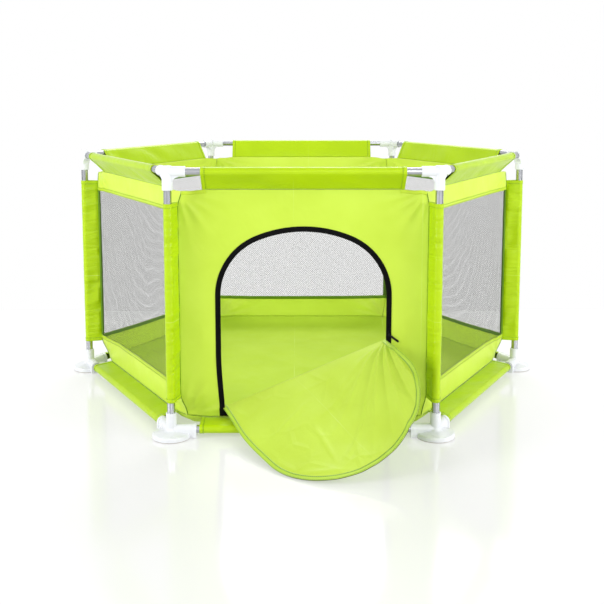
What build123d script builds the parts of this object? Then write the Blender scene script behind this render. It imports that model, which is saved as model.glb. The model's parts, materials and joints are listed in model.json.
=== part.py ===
from build123d import *
import math
import os

# Hexagonal playpen: a fabric cover hung on a knock-down tube frame.
# Origin at the middle of the floor, +Z up, the zip door faces -Y. Sizes in millimetres.

# Frame
SIDE = 640.0
RAIL_LOW_Z = 20.0
RAIL_SPAN = 626.0
TUBE_R = 9.5
TUBE_WALL = 0.8
TUBE_STOP = 15.0

# Moulded corners
SOCKET_CLEARANCE = 0.15
SOCKET_WALL = 3.2
MOUTH_CHAMFER = 0.8
CORNER_ARM = 43.0
CORNER_DROP = 44.0
CORNER_WEB = 13.0
CORNER_WEB_WIDTH = 16.0
CORNER_HUB_STEP = 0.5
CORNER_CAP_R = 10.5
CORNER_CAP_RISE = 1.2

# Moulded feet
FOOT_R = 47.0
FOOT_RIM = 6.0
FOOT_RIM_ROUND = 5.0
FOOT_CROWN = 17.0
FOOT_FLARE = 9.0
FOOT_SKIRT = 3.5
FOOT_LIFT = 2.0
FOOT_RISE = 41.0
FOOT_ARM = 61.0
FOOT_COLLAR = 9.0
FOOT_COLLAR_STEP = 1.4

# Suction cups
CUP_MARGIN = 1.5
CUP_LIP = 4.0
CUP_BOSS_R = 12.0
CUP_HOLLOW = 3.5
CUP_RISE = 8.0

# Cover
CLOTH = 1.0
SLEEVE_EASE = 0.6
WALL_INSET_TOP = 33.0
WALL_INSET_LOW = 45.0
WALL_TOP_DROP = 46.0
WALL_LOW_Z = 34.0
FLOOR_SLOPE_RUN = 70.0
TOP_BAND = 57.0
LOW_BAND = 72.0
CORNER_STRIP = 30.0
TOP_SLEEVE_GAP = 78.0
LOW_SLEEVE_GAP = 68.0
POST_SLEEVE_TOP_GAP = 76.0
POST_SLEEVE_LOW_GAP = 67.0
SEAM_POCKET = 10.0

# Mesh windows
NET_COLUMNS = 12
NET_ROWS = 10
NET_STRAND = 5.0
NET_THICK = 0.6

# Door and zip
DOOR_HALF_WIDTH = 214.0
DOOR_TOP = 477.0
DOOR_CROWN_R = 300.0
DOOR_SHOULDER_R = 160.0
DOOR_SILL = 5.0
TAPE_WIDTH = 13.0
TAPE_THICK = 1.2
TAPE_OVERHANG = 2.0
END_BLOCK_WIDTH = 18.0
END_BLOCK_GAP = 2.0
FOLD_LEFT = 23.0
FOLD_RIGHT = 197.0
FOLD_BEAD_R = 1.2
FOLD_GAP = 0.6
FLAP_CLEARANCE = 2.0
FLAP_FOLDS = 5
FLAP_FOLD_DEPTH = 5.0
FLAP_FLOOR_GAP = 0.8
HEM_WIDTH = 12.0

# Zip slider and pull
SLIDER_WIDTH = 8.5
SLIDER_HEIGHT = 14.0
SLIDER_THICK = 4.0
SLIDER_LIFT = 0.4
SLIDER_ABOVE_FOLD = 7.0
PULL_ANGLE = -37.0
PULL_LENGTH = 26.0
PULL_WIDTH = 5.0
PULL_THICK = 1.4
PULL_BAR_R = 0.9
PULL_EYE_R = 2.1
PULL_EYE_WIDTH = 3.4
PULL_PLAY = 0.35

# Values that follow from the sizes above
APOTHEM = SIDE * math.cos(math.radians(30))
RAIL_HIGH_Z = RAIL_LOW_Z + RAIL_SPAN
BORE_R = TUBE_R + SOCKET_CLEARANCE
SOCKET_R = BORE_R + SOCKET_WALL
LOOP_IN_R = TUBE_R + SLEEVE_EASE
LOOP_OUT_R = LOOP_IN_R + CLOTH
WALL_TOP_Z = RAIL_HIGH_Z - WALL_TOP_DROP
WALL_LEAN = WALL_INSET_LOW - WALL_INSET_TOP
WALL_HEIGHT = math.hypot(WALL_LEAN, WALL_TOP_Z - WALL_LOW_Z)
WALL_LOW_APOTHEM = APOTHEM - WALL_INSET_LOW
WALL_TOP_APOTHEM = APOTHEM - WALL_INSET_TOP
WINDOW_WIDTH = 2 * WALL_LOW_APOTHEM * math.tan(math.radians(30)) - 2 * CORNER_STRIP
WINDOW_HEIGHT = WALL_HEIGHT - TOP_BAND - LOW_BAND
DOOR_INNER_HALF = DOOR_HALF_WIDTH - TAPE_WIDTH
FLAP_INSET = TAPE_WIDTH + FLAP_CLEARANCE


def write(part, name):
    part.label = name
    export_step(part, f"parts/{name}.step")


def write_round(master, name, numbers):
    # One copy per number, each turned a sixth of a circle further round the pen.
    for number in numbers:
        with BuildPart() as copy:
            with Locations(Location((0, 0, 0), (0, 0, 60 * (number - 1)))):
                add(master)
        write(copy.part, f"{name}_{number}")


def heading(degrees):
    return Vector(math.cos(math.radians(degrees)), math.sin(math.radians(degrees)), 0)


def across(direction):
    # Section plane that looks along a level direction, with its second axis straight up.
    return Plane(origin=(0, 0, 0), x_dir=(-direction.Y, direction.X, 0), z_dir=direction)


def moved(plane, point):
    return Plane(origin=plane.origin + Vector(*point), x_dir=plane.x_dir, z_dir=plane.z_dir)


# Front-left corner, where the masters of all corner pieces are made
CORNER_OUT = heading(-120)
CORNER_POINT = CORNER_OUT * SIDE
ARM_HEADINGS = (heading(0), heading(120))
TOP_NODE = CORNER_POINT + Vector(0, 0, RAIL_HIGH_Z)
LOW_NODE = CORNER_POINT + Vector(0, 0, RAIL_LOW_Z)

os.makedirs("parts", exist_ok=True)

# Tubes
with BuildPart() as post_tube:
    with BuildSketch(Plane(LOW_NODE).offset(TUBE_STOP)):
        Circle(TUBE_R)
        Circle(TUBE_R - TUBE_WALL, mode=Mode.SUBTRACT)
    extrude(amount=RAIL_SPAN - 2 * TUBE_STOP)
write_round(post_tube.part, "post_tube", range(1, 7))

with BuildPart() as top_rail:
    with BuildSketch(moved(across(heading(0)), TOP_NODE).offset(TUBE_STOP)):
        Circle(TUBE_R)
        Circle(TUBE_R - TUBE_WALL, mode=Mode.SUBTRACT)
    extrude(amount=SIDE - 2 * TUBE_STOP)
write_round(top_rail.part, "top_rail", range(1, 7))

with BuildPart() as bottom_rail:
    with BuildSketch(moved(across(heading(0)), LOW_NODE).offset(TUBE_STOP)):
        Circle(TUBE_R)
        Circle(TUBE_R - TUBE_WALL, mode=Mode.SUBTRACT)
    extrude(amount=SIDE - 2 * TUBE_STOP)
write_round(bottom_rail.part, "bottom_rail", range(1, 7))

# Top corner: two level sockets and one hanging socket, with a curved web under each arm
with BuildPart() as top_corner:
    with Locations(TOP_NODE):
        Sphere(SOCKET_R + CORNER_HUB_STEP)
    with BuildSketch(Plane(TOP_NODE)):
        Circle(SOCKET_R)
    extrude(amount=-CORNER_DROP)
    with BuildSketch(Plane(TOP_NODE)):
        Circle(CORNER_CAP_R)
    extrude(amount=SOCKET_R + CORNER_CAP_RISE)
    for arm in ARM_HEADINGS:
        with BuildSketch(moved(across(arm), TOP_NODE)):
            Circle(SOCKET_R)
        extrude(amount=CORNER_ARM)
        web_plane = Plane(origin=TOP_NODE, x_dir=arm, z_dir=(arm.Y, -arm.X, 0))
        with BuildSketch(web_plane):
            with BuildLine():
                web_end = (SOCKET_R + CORNER_WEB, -SOCKET_R)
                web_foot = (SOCKET_R, -SOCKET_R - CORNER_WEB)
                bow = SOCKET_R + CORNER_WEB * (1 - math.cos(math.radians(45)))
                ThreePointArc(web_foot, (bow, -bow), web_end)
                Polyline(web_end, (web_end[0], 0), (0, 0), (0, web_foot[1]), web_foot)
            make_face()
        extrude(amount=CORNER_WEB_WIDTH / 2, both=True)
    mouths = top_corner.edges().filter_by(GeomType.CIRCLE)
    mouths = mouths.filter_by(lambda edge: abs(edge.radius - SOCKET_R) < 0.01 and edge.is_closed)
    chamfer(mouths, MOUTH_CHAMFER)
    cap_rim = top_corner.edges().filter_by(GeomType.CIRCLE).sort_by(Axis.Z)[-1]
    fillet(cap_rim, CORNER_CAP_RISE * 0.6)
    with BuildSketch(Plane(TOP_NODE).offset(-TUBE_STOP)):
        Circle(BORE_R)
    extrude(amount=TUBE_STOP - CORNER_DROP, mode=Mode.SUBTRACT)
    for arm in ARM_HEADINGS:
        with BuildSketch(moved(across(arm), TOP_NODE).offset(TUBE_STOP)):
            Circle(BORE_R)
        extrude(amount=CORNER_ARM - TUBE_STOP, mode=Mode.SUBTRACT)
write_round(top_corner.part, "top_corner", range(1, 7))

# Foot: a saucer that flares up into the post socket, with two flat-sided rail sockets
FOOT_BASE = FOOT_LIFT - RAIL_LOW_Z
FOOT_TOP = FOOT_CROWN - RAIL_LOW_Z
CUP_CEILING = CUP_RISE - RAIL_LOW_Z
with BuildPart() as foot:
    with BuildSketch(Plane(origin=LOW_NODE, x_dir=(1, 0, 0), z_dir=(0, -1, 0))):
        with BuildLine():
            rim_low = (FOOT_R, FOOT_BASE)
            rim_high = (FOOT_R, FOOT_BASE + FOOT_RIM)
            rim_in = (FOOT_R - FOOT_RIM_ROUND, FOOT_BASE + FOOT_RIM + FOOT_RIM_ROUND)
            flare_low = (SOCKET_R + FOOT_FLARE, FOOT_TOP)
            flare_high = (SOCKET_R, FOOT_TOP + FOOT_FLARE)
            half = math.cos(math.radians(45))
            rim_bow = (rim_in[0] + FOOT_RIM_ROUND * half, rim_high[1] + FOOT_RIM_ROUND * half)
            flare_bow = (flare_low[0] - FOOT_FLARE * half, flare_high[1] - FOOT_FLARE * half)
            Polyline((0, FOOT_BASE), rim_low, rim_high)
            ThreePointArc(rim_high, rim_bow, rim_in)
            Line(rim_in, flare_low)
            ThreePointArc(flare_low, flare_bow, flare_high)
            Polyline(flare_high, (SOCKET_R, FOOT_RISE), (0, FOOT_RISE), (0, FOOT_BASE))
        make_face()
    revolve(axis=Axis(LOW_NODE, (0, 0, 1)))
    for arm in ARM_HEADINGS:
        arm_plane = moved(across(arm), LOW_NODE)
        with BuildSketch(arm_plane):
            Circle(SOCKET_R)
            with Locations((0, FOOT_BASE / 2)):
                Rectangle(2 * SOCKET_R, -FOOT_BASE)
        extrude(amount=FOOT_ARM)
        with BuildSketch(arm_plane.offset(FOOT_ARM - FOOT_COLLAR)):
            Circle(SOCKET_R + FOOT_COLLAR_STEP)
            with Locations((0, FOOT_BASE / 2)):
                Rectangle(2 * SOCKET_R + 2 * FOOT_COLLAR_STEP, -FOOT_BASE)
        extrude(amount=FOOT_COLLAR)
    socket_mouth = foot.edges().filter_by(GeomType.CIRCLE).sort_by(Axis.Z)[-1]
    chamfer(socket_mouth, MOUTH_CHAMFER)
    with BuildSketch(Plane(LOW_NODE).offset(FOOT_BASE)):
        Circle(FOOT_R - FOOT_SKIRT)
    extrude(amount=CUP_CEILING - FOOT_BASE, mode=Mode.SUBTRACT)
    with BuildSketch(Plane(LOW_NODE).offset(TUBE_STOP)):
        Circle(BORE_R)
    extrude(amount=FOOT_RISE - TUBE_STOP, mode=Mode.SUBTRACT)
    for arm in ARM_HEADINGS:
        with BuildSketch(moved(across(arm), LOW_NODE).offset(TUBE_STOP)):
            Circle(BORE_R)
        extrude(amount=FOOT_ARM - TUBE_STOP, mode=Mode.SUBTRACT)
write_round(foot.part, "foot", range(1, 7))

# Suction cup: a soft disc with a flat lip on the floor, held in the hollow of the foot
with BuildPart() as suction_cup:
    with BuildSketch(Plane(origin=CORNER_POINT, x_dir=(1, 0, 0), z_dir=(0, -1, 0))):
        with BuildLine():
            cup_r = FOOT_R - CUP_MARGIN
            lip_in = (cup_r - CUP_LIP, 0)
            dome = (0, CUP_HOLLOW)
            dome_bow = (lip_in[0] * 0.55, CUP_HOLLOW * 0.75)
            seat_in = (FOOT_R - 2 * FOOT_SKIRT, FOOT_LIFT)
            cone_low = (2 * CUP_BOSS_R, FOOT_LIFT + CUP_HOLLOW / 2)
            Polyline(lip_in, (cup_r, 0), (cup_r, FOOT_LIFT), seat_in, cone_low)
            Polyline(cone_low, (CUP_BOSS_R, CUP_RISE), (0, CUP_RISE), dome)
            ThreePointArc(dome, dome_bow, lip_in)
        make_face()
    revolve(axis=Axis(CORNER_POINT, (0, 0, 1)))
with BuildPart() as suction_cups:
    with PolarLocations(0, 6):
        add(suction_cup.part)
write(suction_cups.part, "suction_cups")

# Walls: six flat panels that lean out a little, mitred together at the corners
FRONT_OUT = heading(-90)
WALL_PLANE = Plane(
    origin=FRONT_OUT * WALL_LOW_APOTHEM + Vector(0, 0, WALL_LOW_Z),
    x_dir=(1, 0, 0),
    z_dir=(0, WALL_LOW_Z - WALL_TOP_Z, -WALL_LEAN),
)
WINDOW_MIDDLE = (0, LOW_BAND + WINDOW_HEIGHT / 2)


def wall_sheet():
    with BuildSketch(WALL_PLANE) as sheet:
        with Locations((0, WALL_HEIGHT / 2)):
            Rectangle(SIDE, WALL_HEIGHT + SIDE / 10)
    extrude(sheet.sketch, amount=-CLOTH)
    with BuildSketch(Plane.XY.offset(WALL_LOW_Z)) as sector:
        Polygon((0, 0), heading(-120) * SIDE, heading(-60) * SIDE, align=None)
    extrude(sector.sketch, amount=WALL_TOP_Z - WALL_LOW_Z, mode=Mode.INTERSECT)


with BuildPart() as wall_frame:
    wall_sheet()
    with BuildSketch(WALL_PLANE):
        with Locations(WINDOW_MIDDLE):
            Rectangle(WINDOW_WIDTH, WINDOW_HEIGHT)
    extrude(amount=-CLOTH, mode=Mode.SUBTRACT)
write_round(wall_frame.part, "wall_frame", range(2, 7))

with BuildPart() as mesh_window:
    with BuildSketch(WALL_PLANE.offset((NET_THICK - CLOTH) / 2)):
        pitch_x = (WINDOW_WIDTH - NET_STRAND) / NET_COLUMNS
        pitch_y = (WINDOW_HEIGHT - NET_STRAND) / NET_ROWS
        with Locations(WINDOW_MIDDLE):
            Rectangle(WINDOW_WIDTH, WINDOW_HEIGHT)
            with GridLocations(pitch_x, pitch_y, NET_COLUMNS, NET_ROWS):
                Rectangle(pitch_x - NET_STRAND, pitch_y - NET_STRAND, mode=Mode.SUBTRACT)
    extrude(amount=-NET_THICK)
with BuildPart() as mesh_windows:
    with Locations([Location((0, 0, 0), (0, 0, 60 * turn)) for turn in range(1, 6)]):
        add(mesh_window.part)
write(mesh_windows.part, "mesh_windows")

# Door outline: straight legs, tight shoulders and a flat crown, all drawn in by one inset


def door_arch(inset, sill, mode=Mode.ADD):
    half_width = DOOR_HALF_WIDTH - inset
    crown_r = DOOR_CROWN_R - inset
    shoulder_r = DOOR_SHOULDER_R - inset
    crown_y = DOOR_TOP - DOOR_CROWN_R
    shoulder_x = DOOR_HALF_WIDTH - DOOR_SHOULDER_R
    rise = math.sqrt((DOOR_CROWN_R - DOOR_SHOULDER_R) ** 2 - shoulder_x**2)
    spring_y = crown_y + rise
    turn = math.atan2(rise, shoulder_x)
    tangent = (crown_r * math.cos(turn), crown_y + crown_r * math.sin(turn))
    bow = (shoulder_x + shoulder_r * math.cos(turn / 2), spring_y + shoulder_r * math.sin(turn / 2))
    with BuildLine() as outline:
        Line((half_width, sill), (half_width, spring_y))
        ThreePointArc((half_width, spring_y), bow, tangent)
        ThreePointArc(tangent, (0, crown_y + crown_r), (-tangent[0], tangent[1]))
        ThreePointArc((-tangent[0], tangent[1]), (-bow[0], bow[1]), (-half_width, spring_y))
        Line((-half_width, spring_y), (-half_width, sill))
        Line((-half_width, sill), (half_width, sill))
    make_face(outline.edges(), mode=mode)


FOLD_ANGLE = math.degrees(math.atan2(FOLD_RIGHT - FOLD_LEFT, 2 * DOOR_INNER_HALF))
FOLD_MIDDLE = Location((0, (FOLD_LEFT + FOLD_RIGHT) / 2), FOLD_ANGLE)
WALL_CUT_INSET = TAPE_WIDTH - TAPE_OVERHANG


def keep_above_fold(gap):
    with Locations(FOLD_MIDDLE):
        with Locations((0, gap)):
            Rectangle(2 * SIDE, 2 * SIDE, align=(Align.CENTER, Align.MIN), mode=Mode.INTERSECT)


def keep_below_fold():
    with Locations(FOLD_MIDDLE):
        Rectangle(2 * SIDE, 2 * SIDE, align=(Align.CENTER, Align.MAX), mode=Mode.INTERSECT)


with BuildPart() as front_wall:
    wall_sheet()
    with BuildSketch(WALL_PLANE):
        door_arch(WALL_CUT_INSET, DOOR_SILL)
    extrude(amount=-CLOTH, mode=Mode.SUBTRACT)
write(front_wall.part, "front_wall")

with BuildPart() as zip_tape:
    with BuildSketch(WALL_PLANE):
        door_arch(0, DOOR_SILL)
        door_arch(TAPE_WIDTH, DOOR_SILL - TAPE_WIDTH, mode=Mode.SUBTRACT)
        with Locations((-DOOR_HALF_WIDTH, DOOR_SILL)):
            block_height = FOLD_LEFT - DOOR_SILL - END_BLOCK_GAP
            Rectangle(END_BLOCK_WIDTH, block_height, align=(Align.MIN, Align.MIN))
    extrude(amount=TAPE_THICK)
write(zip_tape.part, "zip_tape")

# Lower corner of the door, zipped shut, with the rolled fold along its upper edge
MIDDLE_PLANE = WALL_PLANE.offset(-CLOTH / 2)
FOLD_START = MIDDLE_PLANE.from_local_coords(Vector(-DOOR_INNER_HALF, FOLD_LEFT, 0))
FOLD_END = MIDDLE_PLANE.from_local_coords(Vector(DOOR_INNER_HALF, FOLD_RIGHT, 0))
FOLD_DIRECTION = (FOLD_END - FOLD_START).normalized()
FOLD_LENGTH = (FOLD_END - FOLD_START).length
BEAD_INSET = FLAP_CLEARANCE
with BuildPart() as door_lower:
    with BuildSketch(WALL_PLANE):
        door_arch(WALL_CUT_INSET, DOOR_SILL)
        keep_below_fold()
    extrude(amount=-CLOTH)
    with BuildSketch(Plane(origin=FOLD_START + FOLD_DIRECTION * BEAD_INSET, z_dir=FOLD_DIRECTION)):
        Circle(FOLD_BEAD_R)
    extrude(amount=FOLD_LENGTH - 2 * BEAD_INSET)
write(door_lower.part, "door_lower")

# Door flap, swung out about the fold until its lowest point is just clear of the floor
with BuildSketch() as flap_outline:
    door_arch(FLAP_INSET, DOOR_SILL)
    keep_above_fold(FOLD_BEAD_R + FOLD_GAP)
with BuildSketch() as flap_tape_outline:
    door_arch(FLAP_INSET, DOOR_SILL)
    door_arch(FLAP_INSET + HEM_WIDTH, DOOR_SILL - HEM_WIDTH, mode=Mode.SUBTRACT)
    keep_above_fold(2 * HEM_WIDTH)

FOLD_TURN = Axis((0, 0, 0), FOLD_DIRECTION)


def swung(point, angle):
    return FOLD_START + (point - FOLD_START).rotate(FOLD_TURN, angle)


def lowest_point(angle):
    rim = [edge.position_at(step / 12) for edge in flap_outline.edges() for step in range(13)]
    return min(swung(MIDDLE_PLANE.from_local_coords(point), angle).Z for point in rim)


OPEN_ANGLE = 90.0
open_step = 45.0
FLAP_LOWEST = FLAP_FLOOR_GAP + FLAP_FOLD_DEPTH + CLOTH + TAPE_THICK
while open_step > 0.01:
    if lowest_point(OPEN_ANGLE) > FLAP_LOWEST:
        OPEN_ANGLE += open_step
    else:
        OPEN_ANGLE -= open_step
    open_step /= 2

FLAP_PLANE = Plane(
    origin=swung(MIDDLE_PLANE.origin, OPEN_ANGLE),
    x_dir=MIDDLE_PLANE.x_dir.rotate(FOLD_TURN, OPEN_ANGLE),
    z_dir=MIDDLE_PLANE.z_dir.rotate(FOLD_TURN, OPEN_ANGLE),
)
FLAP_FALL = FLAP_PLANE.z_dir.cross(FOLD_DIRECTION)
FLAP_REACH = DOOR_TOP


def flap_section(away, depth, low, high):
    # Cloth section across the flap: shallow folds between low and high, turned up and down by turns.
    start = FOLD_START + FLAP_FALL * away - FOLD_DIRECTION * (FOLD_LENGTH / 4)
    width = 1.5 * FOLD_LENGTH / FLAP_FOLDS
    with BuildSketch(Plane(origin=start, x_dir=FOLD_DIRECTION, z_dir=-FLAP_FALL)) as section:
        with BuildLine():
            for level in (low, high):
                for fold in range(FLAP_FOLDS):
                    crest = level + depth * (-1) ** fold
                    left = (fold * width, level)
                    right = (fold * width + width, level)
                    ThreePointArc(left, (fold * width + width / 2, crest), right)
            Line((0, low), (0, high))
            Line((FLAP_FOLDS * width, low), (FLAP_FOLDS * width, high))
        make_face()
    return section.sketch


def flap_layer(outline, low, high):
    at_fold = flap_section(0, FLAP_FOLD_DEPTH / 20, low, high)
    at_rim = flap_section(FLAP_REACH, FLAP_FOLD_DEPTH, low, high)
    loft([at_fold, at_rim], ruled=True)
    with BuildSketch(FLAP_PLANE.offset(-4 * FLAP_FOLD_DEPTH)) as shape:
        add(outline)
    extrude(shape.sketch, amount=8 * FLAP_FOLD_DEPTH, mode=Mode.INTERSECT)


with BuildPart() as door_flap:
    flap_layer(flap_outline.sketch, -CLOTH / 2, CLOTH / 2)
write(door_flap.part, "door_flap")

with BuildPart() as flap_zip_tape:
    flap_layer(flap_tape_outline.sketch, CLOTH / 2, CLOTH / 2 + TAPE_THICK)
write(flap_zip_tape.part, "flap_zip_tape")

# Zip slider on the right leg, with a bar for the pull
SLIDER_X = DOOR_HALF_WIDTH - TAPE_WIDTH / 2
SLIDER_Y = FOLD_RIGHT + SLIDER_ABOVE_FOLD + SLIDER_HEIGHT / 2
SLIDER_PLANE = Plane(
    origin=WALL_PLANE.from_local_coords(Vector(SLIDER_X, SLIDER_Y, TAPE_THICK + SLIDER_LIFT)),
    x_dir=WALL_PLANE.x_dir,
    z_dir=WALL_PLANE.z_dir,
)
PULL_PLANE = Plane(
    origin=SLIDER_PLANE.origin,
    x_dir=SLIDER_PLANE.x_dir.rotate(Axis((0, 0, 0), SLIDER_PLANE.z_dir), PULL_ANGLE),
    z_dir=SLIDER_PLANE.z_dir,
)
BAR_HEIGHT = SLIDER_THICK + PULL_EYE_R + PULL_PLAY
BAR_SPAN = PULL_EYE_WIDTH + 2 * PULL_PLAY
BAR_POST = 1.6
with BuildPart() as zip_slider:
    with BuildSketch(SLIDER_PLANE):
        Trapezoid(SLIDER_WIDTH, SLIDER_HEIGHT, 96, rotation=180)
    extrude(amount=SLIDER_THICK)
    fillet(zip_slider.edges().filter_by(Axis(SLIDER_PLANE.origin, SLIDER_PLANE.z_dir)), 1.2)
    for post_side in (-1, 1):
        with BuildSketch(PULL_PLANE.offset(SLIDER_THICK / 2)):
            with Locations((0, post_side * (BAR_SPAN + BAR_POST) / 2)):
                Rectangle(2 * PULL_BAR_R, BAR_POST)
        extrude(amount=BAR_HEIGHT + PULL_BAR_R - SLIDER_THICK / 2)
    bar_start = PULL_PLANE.from_local_coords(Vector(0, -BAR_SPAN / 2 - BAR_POST / 2, BAR_HEIGHT))
    with BuildSketch(Plane(origin=bar_start, x_dir=PULL_PLANE.x_dir, z_dir=PULL_PLANE.y_dir)):
        Circle(PULL_BAR_R)
    extrude(amount=BAR_SPAN + BAR_POST)
write(zip_slider.part, "zip_slider")

with BuildPart() as zip_pull:
    eye_start = PULL_PLANE.from_local_coords(Vector(0, -PULL_EYE_WIDTH / 2, BAR_HEIGHT))
    eye_plane = Plane(origin=eye_start, x_dir=PULL_PLANE.x_dir, z_dir=PULL_PLANE.y_dir)
    with BuildSketch(eye_plane):
        Circle(PULL_EYE_R)
    extrude(amount=PULL_EYE_WIDTH)
    with BuildSketch(PULL_PLANE.offset(BAR_HEIGHT - PULL_THICK / 2)):
        with Locations((PULL_EYE_R * 0.6, 0)):
            Rectangle(PULL_LENGTH, PULL_EYE_WIDTH, align=(Align.MIN, Align.CENTER))
        with Locations((2 * PULL_EYE_R + PULL_LENGTH / 2, 0)):
            RectangleRounded(PULL_LENGTH, PULL_WIDTH, 1.5)
    extrude(amount=PULL_THICK)
    with BuildSketch(eye_plane):
        Circle(PULL_BAR_R + PULL_PLAY)
    extrude(amount=PULL_EYE_WIDTH, mode=Mode.SUBTRACT)
write(zip_pull.part, "zip_pull")

# Top sleeve: a loop of cloth over the rail, drawn down and in to the head of the wall
SEAM_IN = WALL_INSET_TOP + CLOTH / 2
with BuildPart() as top_sleeve:
    rail_middle = FRONT_OUT * APOTHEM + Vector(0, 0, RAIL_HIGH_Z)
    section = Plane(origin=rail_middle, x_dir=(0, 1, 0), z_dir=(1, 0, 0))
    with BuildSketch(section):
        Circle(LOOP_OUT_R)
        with Locations((SEAM_IN, -WALL_TOP_DROP)):
            Circle(CLOTH)
        make_hull()
        with Locations((SEAM_IN, -WALL_TOP_DROP)):
            Rectangle(4 * CLOTH, 4 * CLOTH, align=(Align.CENTER, Align.MAX), mode=Mode.SUBTRACT)
    extrude(amount=SIDE / 2 - TOP_SLEEVE_GAP, both=True)
    pocket = 1 - SEAM_POCKET / math.hypot(SEAM_IN, WALL_TOP_DROP)
    with BuildSketch(section):
        Circle(LOOP_IN_R)
        with Locations((SEAM_IN * pocket, -WALL_TOP_DROP * pocket)):
            Circle(CLOTH / 4)
        make_hull()
    extrude(amount=SIDE / 2 - TOP_SLEEVE_GAP, both=True, mode=Mode.SUBTRACT)
write_round(top_sleeve.part, "top_sleeve", range(1, 7))

# Bottom sleeve: the same loop round the bottom rail, drawn in to the foot of the wall
SEAM_UP = WALL_LOW_Z - RAIL_LOW_Z
with BuildPart() as bottom_sleeve:
    rail_middle = FRONT_OUT * APOTHEM + Vector(0, 0, RAIL_LOW_Z)
    section = Plane(origin=rail_middle, x_dir=(0, 1, 0), z_dir=(1, 0, 0))
    with BuildSketch(section):
        Circle(LOOP_OUT_R)
        with Locations((WALL_INSET_LOW, SEAM_UP)):
            Circle(CLOTH)
        make_hull()
        lean = WALL_LEAN / (WALL_TOP_Z - WALL_LOW_Z)
        Polygon(
            (WALL_INSET_LOW, SEAM_UP),
            (WALL_INSET_LOW + FLOOR_SLOPE_RUN, -RAIL_LOW_Z),
            (WALL_INSET_LOW + FLOOR_SLOPE_RUN, SEAM_UP + FLOOR_SLOPE_RUN),
            (WALL_INSET_LOW - lean * FLOOR_SLOPE_RUN, SEAM_UP + FLOOR_SLOPE_RUN),
            align=None,
            mode=Mode.SUBTRACT,
        )
    extrude(amount=SIDE / 2 - LOW_SLEEVE_GAP, both=True)
    pocket = 1 - SEAM_POCKET / math.hypot(WALL_INSET_LOW, SEAM_UP)
    with BuildSketch(section):
        Circle(LOOP_IN_R)
        with Locations((WALL_INSET_LOW * pocket, SEAM_UP * pocket)):
            Circle(CLOTH / 4)
        make_hull()
    extrude(amount=SIDE / 2 - LOW_SLEEVE_GAP, both=True, mode=Mode.SUBTRACT)
write_round(bottom_sleeve.part, "bottom_sleeve", range(1, 7))

# Post sleeves: upright loops whose inner edge is sewn to the corner seam of the walls
POST_SLEEVE_LOW_Z = RAIL_LOW_Z + POST_SLEEVE_LOW_GAP
POST_SLEEVE_HEIGHT = RAIL_SPAN - POST_SLEEVE_LOW_GAP - POST_SLEEVE_TOP_GAP
CORNER_INSET_LOW = WALL_INSET_LOW / math.cos(math.radians(30))
with BuildPart() as post_sleeve:
    section = Plane(origin=CORNER_POINT + Vector(0, 0, POST_SLEEVE_LOW_Z), x_dir=-CORNER_OUT, z_dir=(0, 0, 1))
    with BuildSketch(section):
        Circle(LOOP_OUT_R)
        with Locations((CORNER_INSET_LOW, 0)):
            Circle(CLOTH)
        make_hull()
    extrude(amount=POST_SLEEVE_HEIGHT)
    with BuildSketch(Plane.XY.offset(WALL_LOW_Z)):
        RegularPolygon(WALL_LOW_APOTHEM, 6, major_radius=False)
    with BuildSketch(Plane.XY.offset(WALL_TOP_Z)):
        RegularPolygon(WALL_TOP_APOTHEM, 6, major_radius=False)
    loft(ruled=True, mode=Mode.SUBTRACT)
    with BuildSketch(section):
        Circle(LOOP_IN_R)
        with Locations((WALL_INSET_TOP - SEAM_POCKET, 0)):
            Circle(CLOTH / 4)
        make_hull()
    extrude(amount=POST_SLEEVE_HEIGHT, mode=Mode.SUBTRACT)
with BuildPart() as post_sleeves:
    with PolarLocations(0, 6):
        add(post_sleeve.part)
write(post_sleeves.part, "post_sleeves")

# Floor: flat on the ground in the middle, rising all round to the foot of the walls
FLOOR_APOTHEM = WALL_LOW_APOTHEM - FLOOR_SLOPE_RUN
SLOPE = FLOOR_SLOPE_RUN / WALL_LOW_Z
SLOPE_THICK = CLOTH * math.hypot(1, SLOPE)
with BuildPart() as floor_sheet:
    with BuildSketch(Plane.XY):
        RegularPolygon(FLOOR_APOTHEM, 6, major_radius=False)
    with BuildSketch(Plane.XY.offset(WALL_LOW_Z)):
        RegularPolygon(WALL_LOW_APOTHEM, 6, major_radius=False)
    loft(ruled=True)
    with BuildSketch(Plane.XY.offset(CLOTH)):
        RegularPolygon(FLOOR_APOTHEM + SLOPE * CLOTH - SLOPE_THICK, 6, major_radius=False)
    with BuildSketch(Plane.XY.offset(WALL_LOW_Z)):
        RegularPolygon(WALL_LOW_APOTHEM - SLOPE_THICK, 6, major_radius=False)
    loft(ruled=True, mode=Mode.SUBTRACT)
write(floor_sheet.part, "floor_sheet")
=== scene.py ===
"""Looks of a hexagonal fabric playpen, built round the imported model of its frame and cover.

Lengths are metres. The pen stands on z = 0 with its zip door towards -Y. Side 1 is the door side and the
others follow anticlockwise, each a sixth of a turn further round. Cloth is worked out on side 1, as grids
of points over the flat cut, and is then turned to the side where it hangs.
"""

import json
import logging
import math
from dataclasses import dataclass, field
from enum import Enum

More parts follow.
